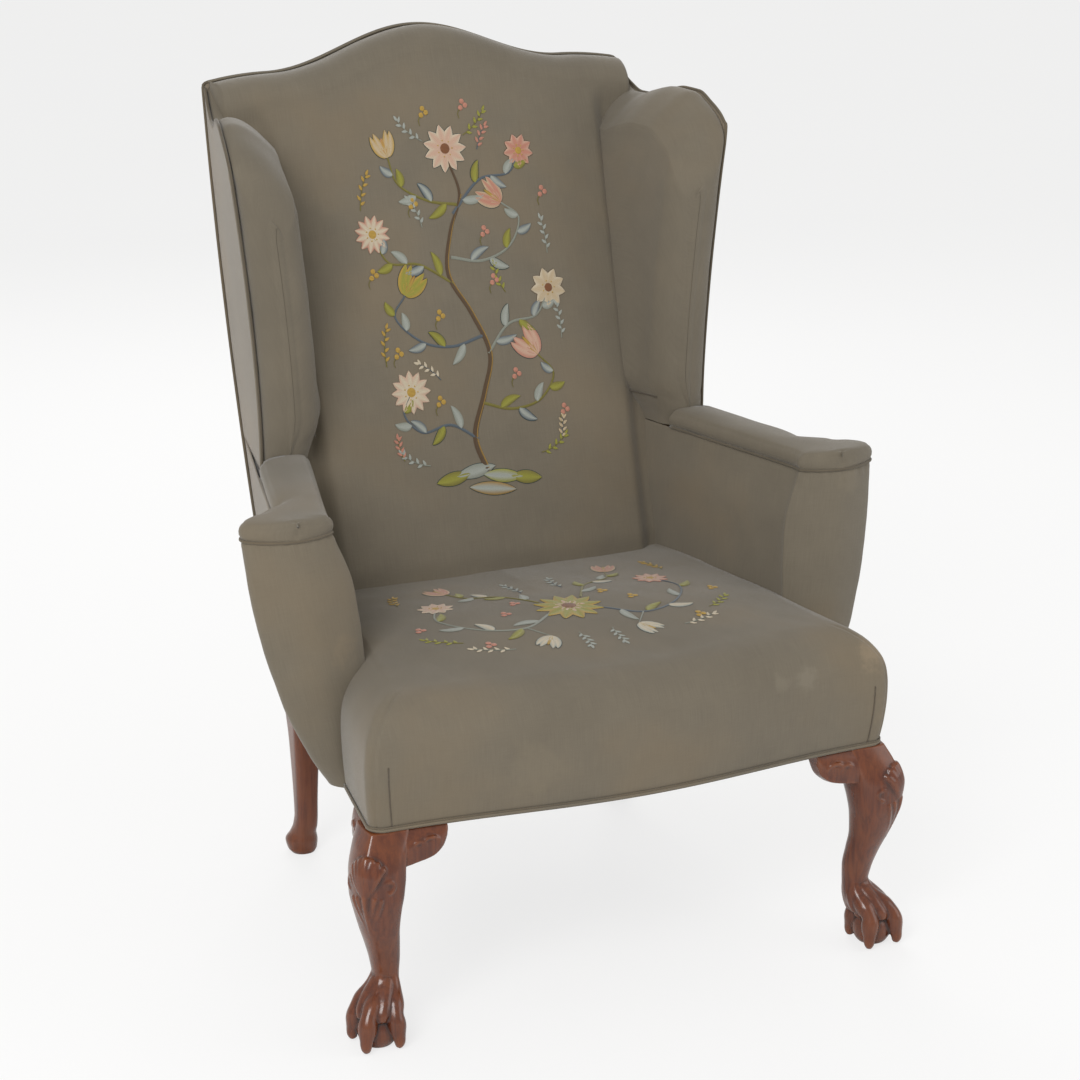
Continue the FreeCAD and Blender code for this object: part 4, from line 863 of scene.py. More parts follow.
crestPath = np.stack([crestX, outsideBack(crestZ) + 0.4, crestZ], -1)
ear = np.array([[312, float(outsideBack(1094)), 1094.0]])
whole = np.concatenate([sidePath, ear, crestPath, mirrored(ear), mirrored(sidePath)[::-1]])
pipe("backWelt", spline(whole, [2] * (len(whole) - 1)), 2.2, weltAndShadeCloth, "back_welt")
crestSeam = np.stack([crestX, outsideBack(crestZ) - 4.2, crestZ + 0.6], -1)
pipe("crestPiping", crestSeam, 1.5, cloth)
print("piping")


# Front legs: shaft, knee shell and ball-and-claw foot, blended by a fine remesh
leg = dict(voxel=0.00155, axis=-6.0, ball=26.5, ballMiddle=20.5)
shaftRows = np.array([
    # level, outer, inner, half width, squareness
    (286, 1.4, -69.3, 35.3, 0.10), (262, 17, -64, 37.5, 0.18), (231, 27.5, -55, 38.5, 0.26),
    (205, 26, -47, 37.0, 0.32), (183, 20, -43, 32.5, 0.36), (157, 10.5, -42, 27.5, 0.40),
    (131, -1, -46, 23.5, 0.44), (105, -10, -50, 20, 0.46), (83, -14, -49.5, 17.8, 0.46),
    (66, -11, -48, 19.5, 0.46), (52, -5, -44, 21, 0.46),
])[::-1]


def shaftPoint(z, turn):
    # turn 0 is the knee's outer edge; the section is a diamond bulged towards a rounded square
    outer, inner, halfSpan, square = np.moveaxis(hermite(shaftRows[:, 0], shaftRows[:, 1:], z), -1, 0)
    centre = np.where(outer - inner > 2.1 * halfSpan, outer - halfSpan * 1.05, (outer + inner) / 2)
    power = 1.0 + square * 1.55
    c, s = np.cos(turn), np.sin(turn)
    scale = (np.abs(c) ** power + np.abs(s) ** power) ** (-1 / power)
    reach = np.where(c > 0, outer - centre, centre - inner)
    return np.stack([centre + reach * c * scale, halfSpan * s * scale, z + 0 * c], -1)


shaftLevels = np.linspace(46, 286, 110)
turns = np.linspace(0, 2 * np.pi, 72, endpoint=False)
shaftGrid = shaftPoint(*np.meshgrid(shaftLevels, turns, indexing="ij"))
parts = [(shaftGrid, tubeFaces(len(shaftLevels), len(turns)))]


def addTube(points, radii, sides=14, up=(0, 1, 0.02), steps=6):
    path = spline(np.column_stack([points, radii]), [steps] * (len(points) - 1))
    grid = tubeGrid(path[:, :3], np.maximum(path[:, 3], 0.4), sides, up)
    parts.append((grid, tubeFaces(len(grid), sides)))


# the square post under the rails' joint
post = ((-3.2, 0), (-35.2, 32), (-67.2, 0), (-35.2, -32))
parts.append((np.array([[(x, y, z) for x, y in post] for z in (252.0, 285.9)]), tubeFaces(2, 4)))
# the ball, flat where it stands on the floor
axisX = leg["axis"]
ballTurns = np.linspace(0, 2 * np.pi, 48, endpoint=False)
ballRows = []
for tilt in np.linspace(-0.86, 1.45, 26):
    radius = leg["ball"] * math.cos(tilt)
    level = leg["ballMiddle"] + 27 * math.sin(tilt)
    ballRows.append(np.stack([axisX + radius * np.cos(ballTurns), radius * np.sin(ballTurns),
                              np.full(len(ballTurns), level)], -1))
ballRows = np.array(ballRows)
ballRows[..., 2] = np.maximum(ballRows[..., 2], 0)
parts.append((ballRows, tubeFaces(*ballRows.shape[:2])))
# claws: tendon, first knuckle, hollow, second knuckle, talon
clawRows = (
    # distance from the ankle's or the ball's middle, middle of the section, level, radius
    (7, -32, 96, 8.0), (11, -30, 78, 9.5), (15, -24, 65, 11.5), (22, -14, 54, 12.4), (26, -8, 46, 10.6),
    (27.5, -6, 38, 12.2), (29.5, -6, 29, 12.0), (32, -6, 18, 8.8), (33, -6, 9, 7.2), (31, -6, 2.5, 4.6),
)
# webs between the claws at the top of the ball, in the same measures
webRows = ((7, -28, 76, 12), (16, -15, 58, 12), (20, axisX, 45, 10), (24, axisX, 38, 5.0))
for rows, degrees, stretch in (
        (clawRows, 0, 1.06), (clawRows, 80, 1.0), (clawRows, -80, 1.0), (clawRows, 180, 0.9),
        (webRows, 41, 1.0), (webRows, -41, 1.0), (webRows, 131, 1.0), (webRows, -131, 1.0)):
    turn = math.radians(degrees)
    points = [(middleX + away * stretch * math.cos(turn), away * stretch * math.sin(turn), z)
              for away, middleX, z, radius in rows]
    up = (-math.sin(turn), math.cos(turn), 0.02) if rows is clawRows else (0, 1, 0.02)
    addTube(np.array(points), np.array([row[3] for row in rows]), up=up)


def kneeSpot(z, turn, lift):
    # a point on the knee, a lift outside its surface
    z, turn = np.asarray(z, float), np.asarray(turn, float)
    here = shaftPoint(z, turn)
    out = np.stack([np.cos(turn), np.sin(turn), 0.25 + 0 * turn], -1)
    return here + unit(out) * np.asarray(lift, float)[..., None]


# shell: lobes fan upwards from a boss, scrolls at its sides, a husk of narrowing leaves below
outwardsUp = (1, 0, 0.2)
for lobe in (-1.0, -0.66, -0.33, 0.0, 0.33, 0.66, 1.0):
    t = np.linspace(0, 1, 7)
    z = 214 + (48 - 15 * abs(lobe) ** 1.5) * np.sin(t * np.pi / 2)
    turn = lobe * (0.10 + 0.62 * t)
    radius = 2.2 + 3.5 * np.sin(np.pi * np.minimum(t * 0.86 + 0.06, 1)) + 0.6 * t
    addTube(kneeSpot(z, turn, -1.2 + 0.8 * t), radius, sides=12, up=outwardsUp, steps=4)
for side in (-1, 1):
    t = np.linspace(0, 1, 16)
    curl = t * 5.2
    radius = 10.5 * (1 - 0.62 * t)
    z = 224 - radius * np.cos(curl) * 0.9
    turn = side * (0.86 + radius * np.sin(curl) / 34)
    addTube(kneeSpot(z, turn, np.full(16, -0.6)), 2.8 - 1.0 * t, sides=10, up=outwardsUp, steps=3)
    t = np.linspace(0, 1, 7)
    for level, fall, start, swing, lift, thick, thinner in ((208, 44, 0.62, 0.40, 0.8, 3.4, 2.0),
                                                            (210, 30, 0.34, 0.20, 0.4, 3.2, 1.6)):
        addTube(kneeSpot(level - fall * t, side * (start - swing * t), -lift - 0.6 * t), thick - thinner * t,
                sides=10, up=outwardsUp, steps=4)
t = np.linspace(0, 1, 8)
addTube(kneeSpot(214 - 62 * t, 0 * t, -0.9 - 0.4 * t), 4.2 - 2.7 * t, sides=10, up=(0, 1, 0.2), steps=4)


def remeshed(piece, voxel, smoothing=3):
    # one skin round all the parts, then relaxed
    change = piece.modifiers.new("blend", "REMESH")
    change.mode = "VOXEL"
    change.voxel_size = voxel
    relax = piece.modifiers.new("relax", "SMOOTH")
    relax.factor = 0.5
    relax.iterations = smoothing
    graph = bpy.context.evaluated_depsgraph_get()
    made = bpy.data.meshes.new_from_object(piece.evaluated_get(graph))
    piece.modifiers.clear()
    piece.data = made
    made.polygons.foreach_set("use_smooth", np.full(len(made.polygons), True))
    return piece


def meshPoints(mesh):
    flat = np.empty(len(mesh.vertices) * 3)
    mesh.vertices.foreach_get("co", flat)
    return flat.reshape(-1, 3)


def markHollows(mesh, passes=5, gain=1.0):
    # hollows and edges: how far the neighbours' mean lies along the normal, smoothed over the mesh; the wood
    # paints shade into the hollows with it
    points = meshPoints(mesh)
    normals = np.empty(len(points) * 3)
    mesh.vertices.foreach_get("normal", normals)
    normals = normals.reshape(-1, 3)
    ends = np.empty(len(mesh.edges) * 2, int)
    mesh.edges.foreach_get("vertices", ends)
    ends = ends.reshape(-1, 2)
    degree = np.bincount(ends.ravel(), minlength=len(points))[:, None]

    def average(values):
        total = np.zeros_like(values)
        np.add.at(total, ends[:, 0], values[ends[:, 1]])
        np.add.at(total, ends[:, 1], values[ends[:, 0]])
        return total / np.maximum(degree, 1)

    blurred = points
    for _ in range(passes):
        blurred = average(blurred)
    bend = ((blurred - points) * normals).sum(1, keepdims=True) * 1000 * gain
    bend = average(average(bend))
    colour = np.ones((len(points), 4), np.float32)
    colour[:, 0] = np.clip(bend[:, 0] * 2.6 - 0.12, 0, 1)
    colour[:, 1] = np.clip(-bend[:, 0] * 1.5 - 0.15, 0, 1)
    colour[:, 2] = 0
    layer = mesh.color_attributes.new("hollow", "FLOAT_COLOR", "POINT")
    layer.data.foreach_set("color", colour.ravel())


def atCorner(points):
    # turned so that the knee looks out of the seat's right front corner, and moved there
    turn = math.radians(-45)
    c, s = math.cos(turn), math.sin(turn)
    x = points[..., 0] * c - points[..., 1] * s + rail["halfFront"]
    y = points[..., 0] * s + points[..., 1] * c
    return np.stack([x, y, points[..., 2]], -1)


legParts = [(atCorner(points), faces) for points, faces in parts]
rightLeg = remeshed(join("rightFrontLeg", legParts), leg["voxel"])
markHollows(rightLeg.data)
leftMesh = rightLeg.data.copy()
points = meshPoints(leftMesh) * [-1, 1, 1]
leftMesh.vertices.foreach_set("co", points.ravel())
leftMesh.flip_normals()
leftLeg = bpy.data.objects.new("leftFrontLeg", leftMesh)
bpy.context.scene.collection.objects.link(leftLeg)
dress(rightLeg, wood, "polished_wood", "right_front_leg")
dress(leftLeg, wood, "polished_wood", "left_front_leg")
print("front legs", len(leftMesh.polygons))


# Knee brackets: the knee's carved swell runs out along the rails
bracket = dict(start=34.0, length=66, top=285.9, height=49.5, voxel=0.0015)
bracketRows = np.array([
    # share of the length, share of the height, swell
    (0, 1.0, 12), (0.30, 0.93, 11), (0.66, 0.84, 9), (0.90, 0.62, 6), (1, 0.30, 2.5),
])


def bracketPiece(name, spot, *nodes):
    # spot gives the place of a point from its run along the rail, its depth and its level
    pieces = []
    shares = np.linspace(0, 1, 40)
    hang, swell = np.moveaxis(hermite(bracketRows[:, 0], bracketRows[:, 1:], shares), -1, 0)
    rows = []
    for share, h, w in zip(shares, hang, swell):
        run, top = bracket["start"] + share * bracket["length"], bracket["top"]
        low = top - h * bracket["height"]
        tall = top - low
        # face: hollow under the rail, swell, undercut at the lower edge, then the flat back
        face = spline(np.array([(1.0, top), (0.2 - 0.7 * w, low + 0.72 * tall), (-w, low + 0.42 * tall),
                                (1 - w, low + 0.14 * tall), (5 - w, low), (22, low), (22, top)]),
                      [7, 7, 6, 4, 4, 4])
        rows.append([spot(run, depth, level) for depth, level in face])
    grid = np.array(rows, float)
    pieces.append((grid, tubeFaces(*grid.shape[:2])))
    # two carved scrolls
    for start, turnsOf, size in ((0.60, 1.5, 11.0), (0.36, 1.1, 8.0)):
        t = np.linspace(0, 1, 22)
        curl = t * 2 * np.pi * turnsOf
        radius = size * (1 - 0.72 * t)
        share = start + radius * np.cos(curl) / 52
        level = 262 + radius * np.sin(curl)
        swellHere = np.interp(share, bracketRows[:, 0], bracketRows[:, 2])
        path = np.array([spot(bracket["start"] + a * bracket["length"], -b * 0.80 - 0.5, c)
                         for a, b, c in zip(share, swellHere, level)], float)
        grid = tubeGrid(path, 2.6 - 1.1 * t, 10, (0, 0.3, 1))
        pieces.append((grid, tubeFaces(len(grid), 10)))
    # two beads along the lower edge
    for lift in (0.0, 1.0):
        t = np.linspace(0.02, 0.97 - 0.2 * lift, 24)
        hangHere = np.interp(t, bracketRows[:, 0], bracketRows[:, 1])
        swellHere = np.interp(t, bracketRows[:, 0], bracketRows[:, 2])
        levelHere = bracket["top"] - hangHere * bracket["height"] + 4.5 + 8 * lift
        path = np.array([spot(bracket["start"] + a * bracket["length"], 3.2 - b, c)
                         for a, b, c in zip(t, swellHere, levelHere)], float)
        grid = tubeGrid(path, np.full(24, 2.4 - 0.8 * lift), 8, (0, 0.3, 1))
        pieces.append((grid, tubeFaces(len(grid), 8)))
    piece = remeshed(join(name, pieces), bracket["voxel"], 2)
    markHollows(piece.data)
    return dress(piece, wood, "polished_wood", *nodes)


for side, turn in (("right", 1), ("left", -1)):
    bracketPiece(side + "FrontKneeBracket",
                 lambda run, depth, level: (turn * (rail["halfFront"] - run), depth + 0.4, level),
                 side + "_front_knee_bracket")
    bracketPiece(side + "SideKneeBracket",
                 lambda run, depth, level: (turn * (float(halfWidth(run)) - depth - 0.4), run, level),
                 side + "_side_knee_bracket")
print("brackets")


# Rear legs: square above, rounded below, ending in a small pad foot
rearRows = np.array([
    # level, half width, slide towards the toe, roundness
    (0, 17, 7, 0.9), (6, 21, 8, 0.9), (18, 23, 9, 0.9), (30, 19, 6, 0.9), (42, 17, 2, 0.8),
    (60, 16, 0, 0.75), (170, 19, 0, 0.5), (246, 23, 0, 0.22), (285.8, 23, 0, 0.08),
], float)
rearLeg = dict(halfSide=23.0, skin=2, toe=math.radians(50))
rearX = rail["halfBack"] - rearLeg["skin"] - rearLeg["halfSide"]
rearLegY = rail["depth"] - rearLeg["skin"] - rearLeg["halfSide"]
rearTurns = np.linspace(0, 2 * np.pi, 64, endpoint=False)
rearLevels = np.concatenate([np.linspace(0, 8, 8), np.linspace(10, 60, 30), np.linspace(66, 285.8, 40)])
rearGrid = []
for z in rearLevels:
    # superellipse: |cos|^p + |sin|^p = 1, from nearly square above to round below
    halfSide, slide, roundness = hermite(rearRows[:, 0], rearRows[:, 1:], z)
    power = 2 + 12 * (1 - np.clip(roundness, 0, 1)) ** 2
    c, s = np.cos(rearTurns), np.sin(rearTurns)
    scale = (np.abs(c) ** power + np.abs(s) ** power) ** (-1 / power)
    rearGrid.append(np.stack([rearX + slide * math.cos(rearLeg["toe"]) + halfSide * scale * c,
                              rearLegY + slide * math.sin(rearLeg["toe"]) + halfSide * scale * s,
                              np.full(len(rearTurns), float(z))], -1))
rearGrid = np.array(rearGrid)
for side, turn in (("right", 1), ("left", -1)):
    piece = join(side + "RearLeg", [(rearGrid * [turn, 1, 1], tubeFaces(*rearGrid.shape[:2]))])
    if turn < 0:
        piece.data.flip_normals()
    markHollows(piece.data, gain=0.2)
    dress(piece, wood, "polished_wood", side + "_rear_leg")
print("rear legs")


# Dust cover under the seat, and the looks of the frame that stays from the CAD
# the sag is a parabola across and a sine from front to back
dust = dict(front=30, rear=585, level=285.0, sag=3.0, share=0.94, thickness=0.8)
depth, across = rowsAndColumns(np.linspace(dust["front"], dust["rear"], 40), np.linspace(-1, 1, 40))
share = (depth - dust["front"]) / (dust["rear"] - dust["front"])
sag = dust["sag"] * (1 - across ** 2) * np.sin(np.pi * share)
under = np.stack([halfWidth(depth) * dust["share"] * across, depth, dust["level"] - sag], -1)
under[..., 2] += unevenness(under, 90) * 0.8
stretched("dustCover", under, dust["thickness"], blackCotton, "dust_cloth", "dust_cover")
looks = ((plainWood, ("seat_rail", "back_post", "crest_rail", "stay_rail", "arm_post", "arm_rail",
                      "wing_post", "wing_rail", "corner_blocks")),
         (jute, ("webbing", "hessian")), (hair, ("stuffing",)), (bluedSteel, ("tacks",)))
for item in bpy.data.objects:
    if item.type != "MESH" or not item.material_slots:
        continue
    for material, words in looks:
        if any(word in item.name for word in words) and item.name in frame["nodes"]:
            for spot in item.material_slots:
                spot.material = material
print("frame looks")


# Crewel embroidery: raised stitches on the inside back and the seat, in an own design of stems and flowers
yarn = dict(
    salmon=(0.62, 0.27, 0.19), blush=(0.72, 0.47, 0.35), ivory=(0.74, 0.64, 0.48), cream=(0.66, 0.52, 0.34),
    gold=(0.56, 0.35, 0.055), mustard=(0.38, 0.22, 0.03), olive=(0.22, 0.19, 0.025), lime=(0.36, 0.35, 0.04),
    sage=(0.30, 0.32, 0.27), mist=(0.44, 0.47, 0.43), teal=(0.030, 0.052, 0.050), rust=(0.24, 0.085, 0.025),
    brown=(0.105, 0.058, 0.022), slate=(0.105, 0.135, 0.165),
)


def polar(centre, away, degrees):
    turn = math.radians(degrees)
    return np.array(centre) + np.array([math.cos(turn), math.sin(turn)]) * away


# heights of the stitches in millimetres: at the edge, and the rise to the middle
stitch = dict(stem=(0.25, 1.1), rim=(0.15, 0.5), leaf=(0.3, 1.25), vein=0.45, disc=0.35)


class Needlework:
    # stitches as raised patches of one mesh, in design millimetres
    def __init__(self, project):
        self.project, self.size = project, 0
        self.points, self.faces, self.uv, self.colours = [], [], [], []

    def patch(self, flat, height, uv, colours):
        # flat is a grid of design coordinates, height the rise above the cloth
        grid = self.project(flat[..., 0], flat[..., 1], height)
        self.points.append(grid.reshape(-1, 3))
        self.faces.append(gridFaces(*flat.shape[:2], start=self.size))
        self.uv.append(uv.reshape(-1, 2) / 1000)
        self.colours.append(np.broadcast_to(colours, grid.shape).reshape(-1, 3))
        self.size += flat.shape[0] * flat.shape[1]

    def stem(self, points, width, colour, taper=0.5):
        line = spline(np.array(points, float), [7] * (len(points) - 1))
        ahead = unit(np.gradient(line, axis=0))
        beside = np.stack([-ahead[:, 1], ahead[:, 0]], -1)[:, None]
        run, c = runOf(line)[:, None], np.linspace(-1, 1, 5)
        thick = width * (1 - (1 - taper) * run / run[-1]) / 2
        low, rise = stitch["stem"]
        height = low + rise * np.sqrt(1 - (0.96 * c) ** 2) + 0 * run
        uv = np.stack([c * thick * 1.2, run * 0.9 + c * thick * 0.9], -1)
        self.patch(line[:, None] + beside * (thick * c)[..., None], height, uv, yarn[colour])

    def leaf(self, base, angle, length, width, outer, inner=None, bend=0.0, edge=None, tip=0.75):
        # outline: sine of the share to a power; satin stitches slant outwards from the vein
        t = np.linspace(0, 1, 13)
        direction = math.radians(angle) + math.radians(bend) * t
        steps = np.stack([np.cos(direction), np.sin(direction)], -1) * length / 12
        line = np.array(base) + np.concatenate([np.zeros((1, 2)), np.cumsum(steps[:-1], axis=0)])
        beside = np.stack([-np.sin(direction), np.cos(direction)], -1)[:, None]
        half = (width / 2 * np.sin(np.pi * t ** tip) ** 0.75 + 0.25)[:, None]
        t, c = t[:, None], np.linspace(-1, 1, 9)
        if edge:
            wide, (low, rise) = half + 0.9, stitch["rim"]
            self.patch(line[:, None] + beside * (wide * c)[..., None],
                       low + rise * np.sqrt(1 - 0.9 * c ** 2) + 0 * t,
                       np.stack([t * length + 0 * c, c * wide], -1), yarn[edge])
        low, rise = stitch["leaf"]
        height = low + rise * np.sqrt(1 - 0.9 * c ** 2) - stitch["vein"] * np.exp(-(c * 5) ** 2) + 0 * t
        uv = np.stack([c * half, t * length + np.abs(c) * half * 0.8], -1)
        share = np.clip(np.abs(c) * 1.3 - 0.25 + 0.3 * (t - 0.5), 0, 1)[..., None]
        colours = np.array(yarn[inner or outer]) * (1 - share) + np.array(yarn[outer]) * share
        self.patch(line[:, None] + beside * (half * c)[..., None], height, uv, colours)

    def leafed(self, points, shares, lengths, width, spread, bend, tones, edged, start=0):
        # leaves along a branch, left and right by turns; gives the branch's end and its heading
        line = spline(np.array(points, float), [8] * (len(points) - 1))
        ahead = unit(np.gradient(line, axis=0))
        headings = np.degrees(np.arctan2(ahead[:, 1], ahead[:, 0]))
        for k, (share, length) in enumerate(zip(shares, lengths)):
            at = int(share * (len(line) - 1))
            side = 1 if (k + start) % 2 else -1
            outer, inner = tones[(k + start) % 3]
            self.leaf(line[at], headings[at] + side * spread, length, width, outer, inner,
                      -side * bend, "teal" if k == edged else None)
        return line[-1], headings[-1]

    def disc(self, centre, radius, colour, rise=1.5):
        r, a = np.linspace(0.02, 1, 5)[:, None], np.linspace(0, 2 * np.pi, 17)[None]
        around = np.stack([r * np.cos(a), r * np.sin(a)], -1) * radius
        height = stitch["disc"] + rise * np.sqrt(1 - 0.92 * r ** 2) + 0 * a
        self.patch(np.array(centre) + around, height, around, yarn[colour])

    def berries(self, x, y, spots, radius, colour):
        for dx, dy in spots:
            self.disc((x + dx, y + dy), radius, colour)

    def rosette(self, centre, radius, petals, outer, inner, heart, start=0.0, edge=None):
        for i in range(petals):
            angle = start + 360 * i / petals
            self.leaf(polar(centre, radius * 0.2, angle), angle, radius * 0.86,
                      radius * 5.0 / petals + 1.5, outer, inner, 0, edge, 0.62)
        self.disc(centre, radius * 0.27, heart, 1.9)
        for i in range(7):
            self.disc(polar(centre, radius * 0.36, 360 * i / 7), 1.3, "gold", 1.6)

    def tulip(self, base, angle, size, outer, inner, tongue):
        for spread, bend, wide in ((42, -38, 0.34), (-42, 38, 0.34), (18, -8, 0.30), (-18, 8, 0.30)):
            edge = "teal" if abs(spread) > 30 else None
            self.leaf(base, angle + spread, size, size * wide, outer, inner, bend, edge)
        self.leaf(base, angle, size * 0.74, size * 0.22, tongue, "gold")

    def sprig(self, base, angle, length, colour, bend, budColour, size, buds=7):
        points = [np.array(base, float)]
        for i in range(4):
            points.append(polar(points[-1], length / 4, angle + bend * i / 4))
        self.stem(points, 1.5, colour)
        line = spline(np.array(points), [8] * 4)
        for i in range(buds):
            at = line[int((i + 1.4) / (buds + 0.8) * (len(line) - 1))]
            heading = angle + bend * (i + 1) / buds
            self.leaf(at, heading + 48 * (1 if i % 2 else -1), size, size * 0.42, budColour)
        self.leaf(line[-1], angle + bend, size, size * 0.42, budColour)

    def finish(self, name):
        mesh = addMesh(name, np.concatenate(self.points), np.concatenate(self.faces).tolist(),
                       np.concatenate(self.uv), inFrame=True)
        colours = np.concatenate(self.colours)
        colours = np.column_stack([colours, np.ones(len(colours))]).astype(np.float32)
        layer = mesh.data.color_attributes.new("wool", "FLOAT_COLOR", "POINT")
        layer.data.foreach_set("color", colours.ravel())
        mesh.data.materials.clear()
        return dress(mesh, wool, None)


def castOnto(piece, direction, origin):
    # design coordinates (millimetres) are thrown onto the cover along one direction
    mesh = piece.data
    tree = BVHTree.FromPolygons([v.co for v in mesh.vertices], [p.vertices for p in mesh.polygons])
    along = Vector(direction)

    def project(a, b, height):
        a, b, height = np.broadcast_arrays(a, b, height)
        result = np.empty(a.shape + (3,))
        starts = toFrame(origin(a, b))
        for index in np.ndindex(a.shape):
            hit, normal, _, _ = tree.ray_cast(Vector(starts[index]), along)
            if normal.dot(along) > 0:
                normal = -normal
            result[index] = hit + normal * (float(height[index]) / 1000)
        return result
    return project


leafTones = (("sage", "mist"), ("olive", "lime"), ("slate", "mist"))
work = Needlework(castOnto(backPiece, (0, 1, 0), lambda a, b: np.stack([a, 0 * a + 150, b], -1)))
# mound and main stem
for x, z, wide, tone in ((-52, 566, 52, "olive"), (-18, 572, 60, "sage"), (22, 570, 58, "lime"),
                         (56, 564, 46, "olive"), (4, 556, 70, "mustard")):
    work.leaf((x - wide / 2, z), 8 if x < 0 else -8, wide, 17, tone,
              "lime" if tone == "olive" else "mist", 0, "teal", 1)
trunk = [(0, 574), (-12, 622), (10, 676), (26, 728), (6, 784), (-20, 836), (-8, 890), (14, 938), (4, 984)]
work.stem(trunk, 8.5, "brown", 0.4)
work.stem([(x + 2.6, z + 1) for x, z in trunk[:-1]], 3.0, "mustard")
# big curling branches, each with its flower, fill the field left and right of the stem
branches = (
    # points from the stem, kind, size, tones of the flower
    (((-8, 618), (-46, 640), (-88, 634), (-112, 660), (-98, 688)), "rosette", 27, ("blush", "ivory", "gold")),
    (((6, 664), (48, 652), (92, 660), (118, 692), (98, 720)), "tulip", 44, ("salmon", "blush", "mustard")),
    (((24, 728), (60, 764), (104, 772), (128, 806)), "rosette", 25, ("ivory", "cream", "rust")),
    (((18, 752), (-28, 742), (-72, 752), (-106, 786), (-88, 814)), "tulip", 42, ("gold", "lime", "rust")),
    (((-14, 824), (-60, 852), (-104, 858), (-122, 896)), "rosette", 24, ("salmon", "ivory", "gold")),
    (((-12, 858), (34, 850), (78, 866), (98, 902), (74, 924)), "tulip", 40, ("cream", "salmon", "olive")),
    (((0, 914), (46, 956), (92, 962), (112, 990)), "rosette", 21, ("blush", "salmon", "gold")),
    (((8, 926), (-34, 934), (-74, 958), (-84, 994)), "tulip", 36, ("gold", "cream", "salmon")),
)
for i, (points, kind, size, tones) in enumerate(branches):
    work.stem(points, 4.2, ("slate", "olive", "sage")[i % 3], 0.55)
    end, heading = work.leafed(points, (0.16, 0.32, 0.48, 0.64, 0.80), (34, 31, 28, 25, 22), 11.5, 58, 42,
                               leafTones, 1, i)
    if kind == "rosette":
        petals, edge = (12, None) if i % 4 == 0 else (9, "brown")
        work.rosette(end, size, petals, *tones, start=i * 11, edge=edge)
    else:
        work.tulip(end, heading, size, *tones)
# crown of the tree, berries, sprigs and tendrils in between
work.rosette((2, 1000), 30, 11, "ivory", "blush", "rust", edge="teal")
for sprig in (
        ((-30, 1012), 150, 44, "sage", -30, "mist"), ((32, 1016), 30, 46, "olive", 30, "lime"),
        ((-128, 724), 92, 50, "olive", -25, "gold"), ((138, 738), 84, 44, "sage", 20, "mist"),
        ((-52, 700), 130, 38, "slate", 30, "ivory"), ((62, 806), 120, 40, "olive", -30, "lime"),
        ((-48, 900), 100, 40, "sage", 30, "mist"), ((50, 996), 70, 34, "slate", -20, "salmon"),
        ((-134, 928), 80, 48, "olive", -22, "gold"), ((134, 852), 88, 46, "sage", 16, "mist"),
        ((-84, 590), 168, 44, "sage", -40, "mist"), ((84, 590), 12, 44, "olive", 40, "lime"),
        ((-120, 600), 110, 30, "olive", -20, "salmon"), ((116, 604), 70, 30, "slate", 20, "cream")):
    # base, angle, length, tone, bend, tone of the buds
    work.sprig(*sprig, 8)
for x, z in ((-60, 668), (58, 694), (-44, 780), (44, 820), (-60, 928), (40, 884), (-112, 736), (124, 640),
             (-26, 1046), (34, 1052), (-132, 840), (136, 930)):
    work.berries(x, z, ((0, 0), (7.5, 3), (3, 8.5)), 3.5, "gold" if x < 0 else "salmon")
    work.stem([(x, z), (x - 5, z - 7), (x - 4, z - 14)], 1.4, "olive")
work.finish("backEmbroidery")

leafTones = (("sage", "mist"), ("olive", "lime"), ("mist", "ivory"))
work = Needlework(castOnto(seatPiece, (0, 0, -1), lambda a, b: np.stack([a, b, 0 * a + 620], -1)))
work.rosette((0, 212), 44, 12, "gold", "lime", "rust", edge="teal")
work.rosette((0, 212), 22, 8, "ivory", "blush", "gold")
for turn in (1, -1):
    sweep = [(turn * 34, 196), (turn * 84, 160), (turn * 138, 178), (turn * 176, 236), (turn * 158, 290)]
    work.stem(sweep, 4.6, "slate" if turn > 0 else "sage")
    rearSweep = [(turn * 30, 240), (turn * 62, 296), (turn * 104, 318), (turn * 118, 352)]
    work.stem(rearSweep, 3.8, "olive")
    for points, wide in ((sweep, 30), (rearSweep, 24)):
        work.leafed(points, (0.14, 0.3, 0.46, 0.62, 0.78), [wide * 1.3 - 2 * k for k in range(5)], 13, 55, 40,
                    leafTones, 2)
    work.rosette((turn * 158, 290), 23, 9, "salmon" if turn > 0 else "ivory", "blush", "gold", edge="brown")
    work.tulip((turn * 118, 352), 90 + turn * -20, 36, "cream", "salmon", "rust")
    work.tulip((turn * 62, 128), 270 + turn * 36, 34, "mist", "ivory", "gold")
    work.stem([(turn * 84, 160), (turn * 72, 142), (turn * 62, 128)], 2.6, "sage")
    for sprig in (
            ((turn * 176, 150), 90 - turn * 62, 52, "olive", turn * 30, "lime"),
            ((turn * 120, 110), 90 - turn * 80, 54, "sage", turn * 24, "ivory"),
            ((turn * 30, 300), 90 + turn * 6, 54, "slate", -turn * 24, "mist"),
            ((turn * 196, 330), 90, 44, "olive", turn * 30, "gold"),
            ((turn * 24, 128), 270 - turn * 8, 40, "sage", turn * 20, "mist")):
        work.sprig(*sprig, 9)
    for x, y in ((turn * 92, 214), (turn * 212, 214), (turn * 64, 250), (turn * 150, 128)):
        work.berries(x, y, ((0, 0), (8, 3), (3, 9)), 4.0, "gold" if turn > 0 else "salmon")
work.finish("seatEmbroidery")
print("embroidery")


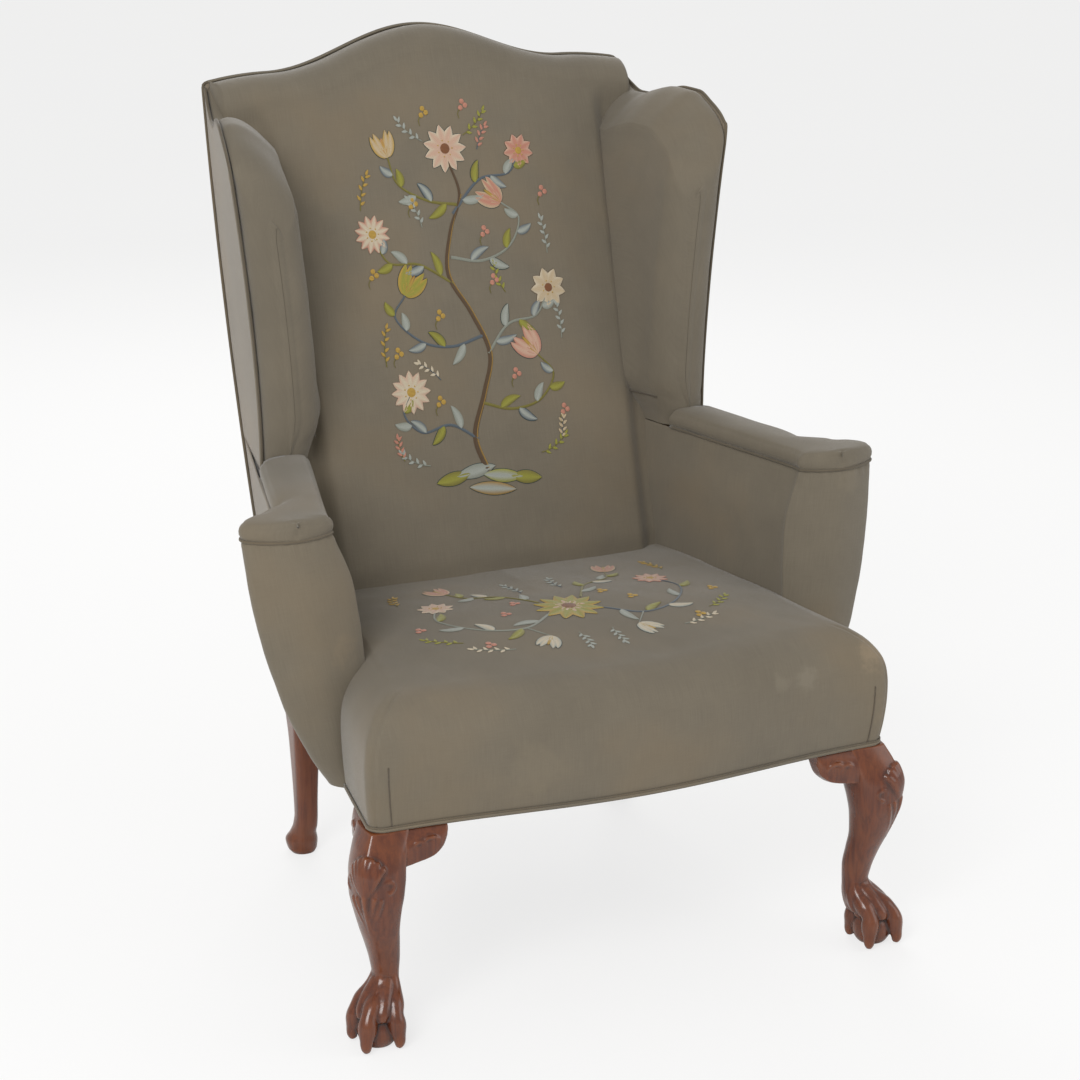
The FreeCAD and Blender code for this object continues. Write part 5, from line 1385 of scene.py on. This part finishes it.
# Floor, light and camera
studio = dict(key=120.0, fill=26.0, rim=40.0, world=0.58, paper=0.72, reach=14000, drop=0.3)
reach = studio["reach"]
floorPoints = np.array([(x * reach, y * reach, -studio["drop"])
                        for x, y in ((-1, -1), (1, -1), (1, 1), (-1, 1))], float)
floorPiece = addMesh("floor", floorPoints, [(0, 1, 2, 3)], smooth=False)
g = Graph("floor")
paper = g.noise(g.place(), 1.1, 2)
floorPiece.data.materials.append(g.finish(Base_Color=g.mix(paper, (0.86, 0.855, 0.845), (0.90, 0.895, 0.885)),
                                          Roughness=0.9, Specular_IOR_Level=0.1))


def addNode(tree, kind, *values):
    # a node of this kind with these values in its first inputs
    node = tree.nodes.new("ShaderNode" + kind)
    for socket, value in zip(node.inputs, values):
        socket.default_value = value
    return node


def link(tree, *pairs):
    for output, socket in pairs:
        tree.links.new(output, socket)


# the camera sees the pale paper almost white, and only the camera does, so it throws no more light
tree = floorPiece.data.materials[0].node_tree
surface = [node for node in tree.nodes if node.type == "BSDF_PRINCIPLED"][0]
output = [node for node in tree.nodes if node.type == "OUTPUT_MATERIAL"][0]
light, blend = addNode(tree, "LightPath"), addNode(tree, "MixShader")
bright = addNode(tree, "Emission", (1, 1, 1, 1))
share = addNode(tree, "Math", 1.0, studio["paper"])
share.operation = "MULTIPLY"
link(tree, (light.outputs["Is Camera Ray"], share.inputs[0]), (share.outputs[0], blend.inputs[0]),
     (surface.outputs[0], blend.inputs[1]), (bright.outputs[0], blend.inputs[2]),
     (blend.outputs[0], output.inputs["Surface"]))


def softLight(name, place, target, power, size):
    data = bpy.data.lights.new(name, "AREA")
    data.energy, data.size = power, size
    lamp = bpy.data.objects.new(name, data)
    lamp.location = place
    aim = Vector(target) - Vector(place)
    lamp.rotation_euler = aim.to_track_quat("-Z", "Y").to_euler()
    bpy.context.scene.collection.objects.link(lamp)


softLight("keyLight", (-2.6, -2.9, 3.3), (0, 0, 0.6), studio["key"], 2.2)
softLight("fillLight", (3.4, -2.4, 1.7), (0, 0, 0.55), studio["fill"], 2.6)
softLight("rimLight", (0.8, 2.9, 2.6), (0, 0, 0.9), studio["rim"], 2.0)
world = bpy.data.worlds.new("studio")
world.use_nodes = True
air = world.node_tree
air.nodes.clear()
seen, both, end = addNode(air, "LightPath"), addNode(air, "MixShader"), addNode(air, "OutputWorld")
glow = addNode(air, "Background", (0.98, 0.98, 0.97, 1), studio["world"])
white = addNode(air, "Background", (1, 1, 1, 1), 1.0)
link(air, (seen.outputs["Is Camera Ray"], both.inputs[0]), (glow.outputs[0], both.inputs[1]),
     (white.outputs[0], both.inputs[2]), (both.outputs[0], end.inputs[0]))
bpy.context.scene.world = world

view = dict(lens=92.65, sensor=36.0, place=(-1.442, -3.2916, 1.681), ahead=(0.387, 0.869, -0.310))
cameraData = bpy.data.cameras.new("camera")
cameraData.lens, cameraData.sensor_width = view["lens"], view["sensor"]
camera = bpy.data.objects.new("camera", cameraData)
camera.location = view["place"]
ahead = Vector(view["ahead"]).normalized()
right = ahead.cross(Vector((0, 0, 1))).normalized()
up = right.cross(ahead)
camera.rotation_euler = Matrix((right, up, -ahead)).transposed().to_euler()
bpy.context.scene.collection.objects.link(camera)
bpy.context.scene.camera = camera
bpy.context.scene.view_settings.view_transform = "Standard"
print("floor, light and camera")
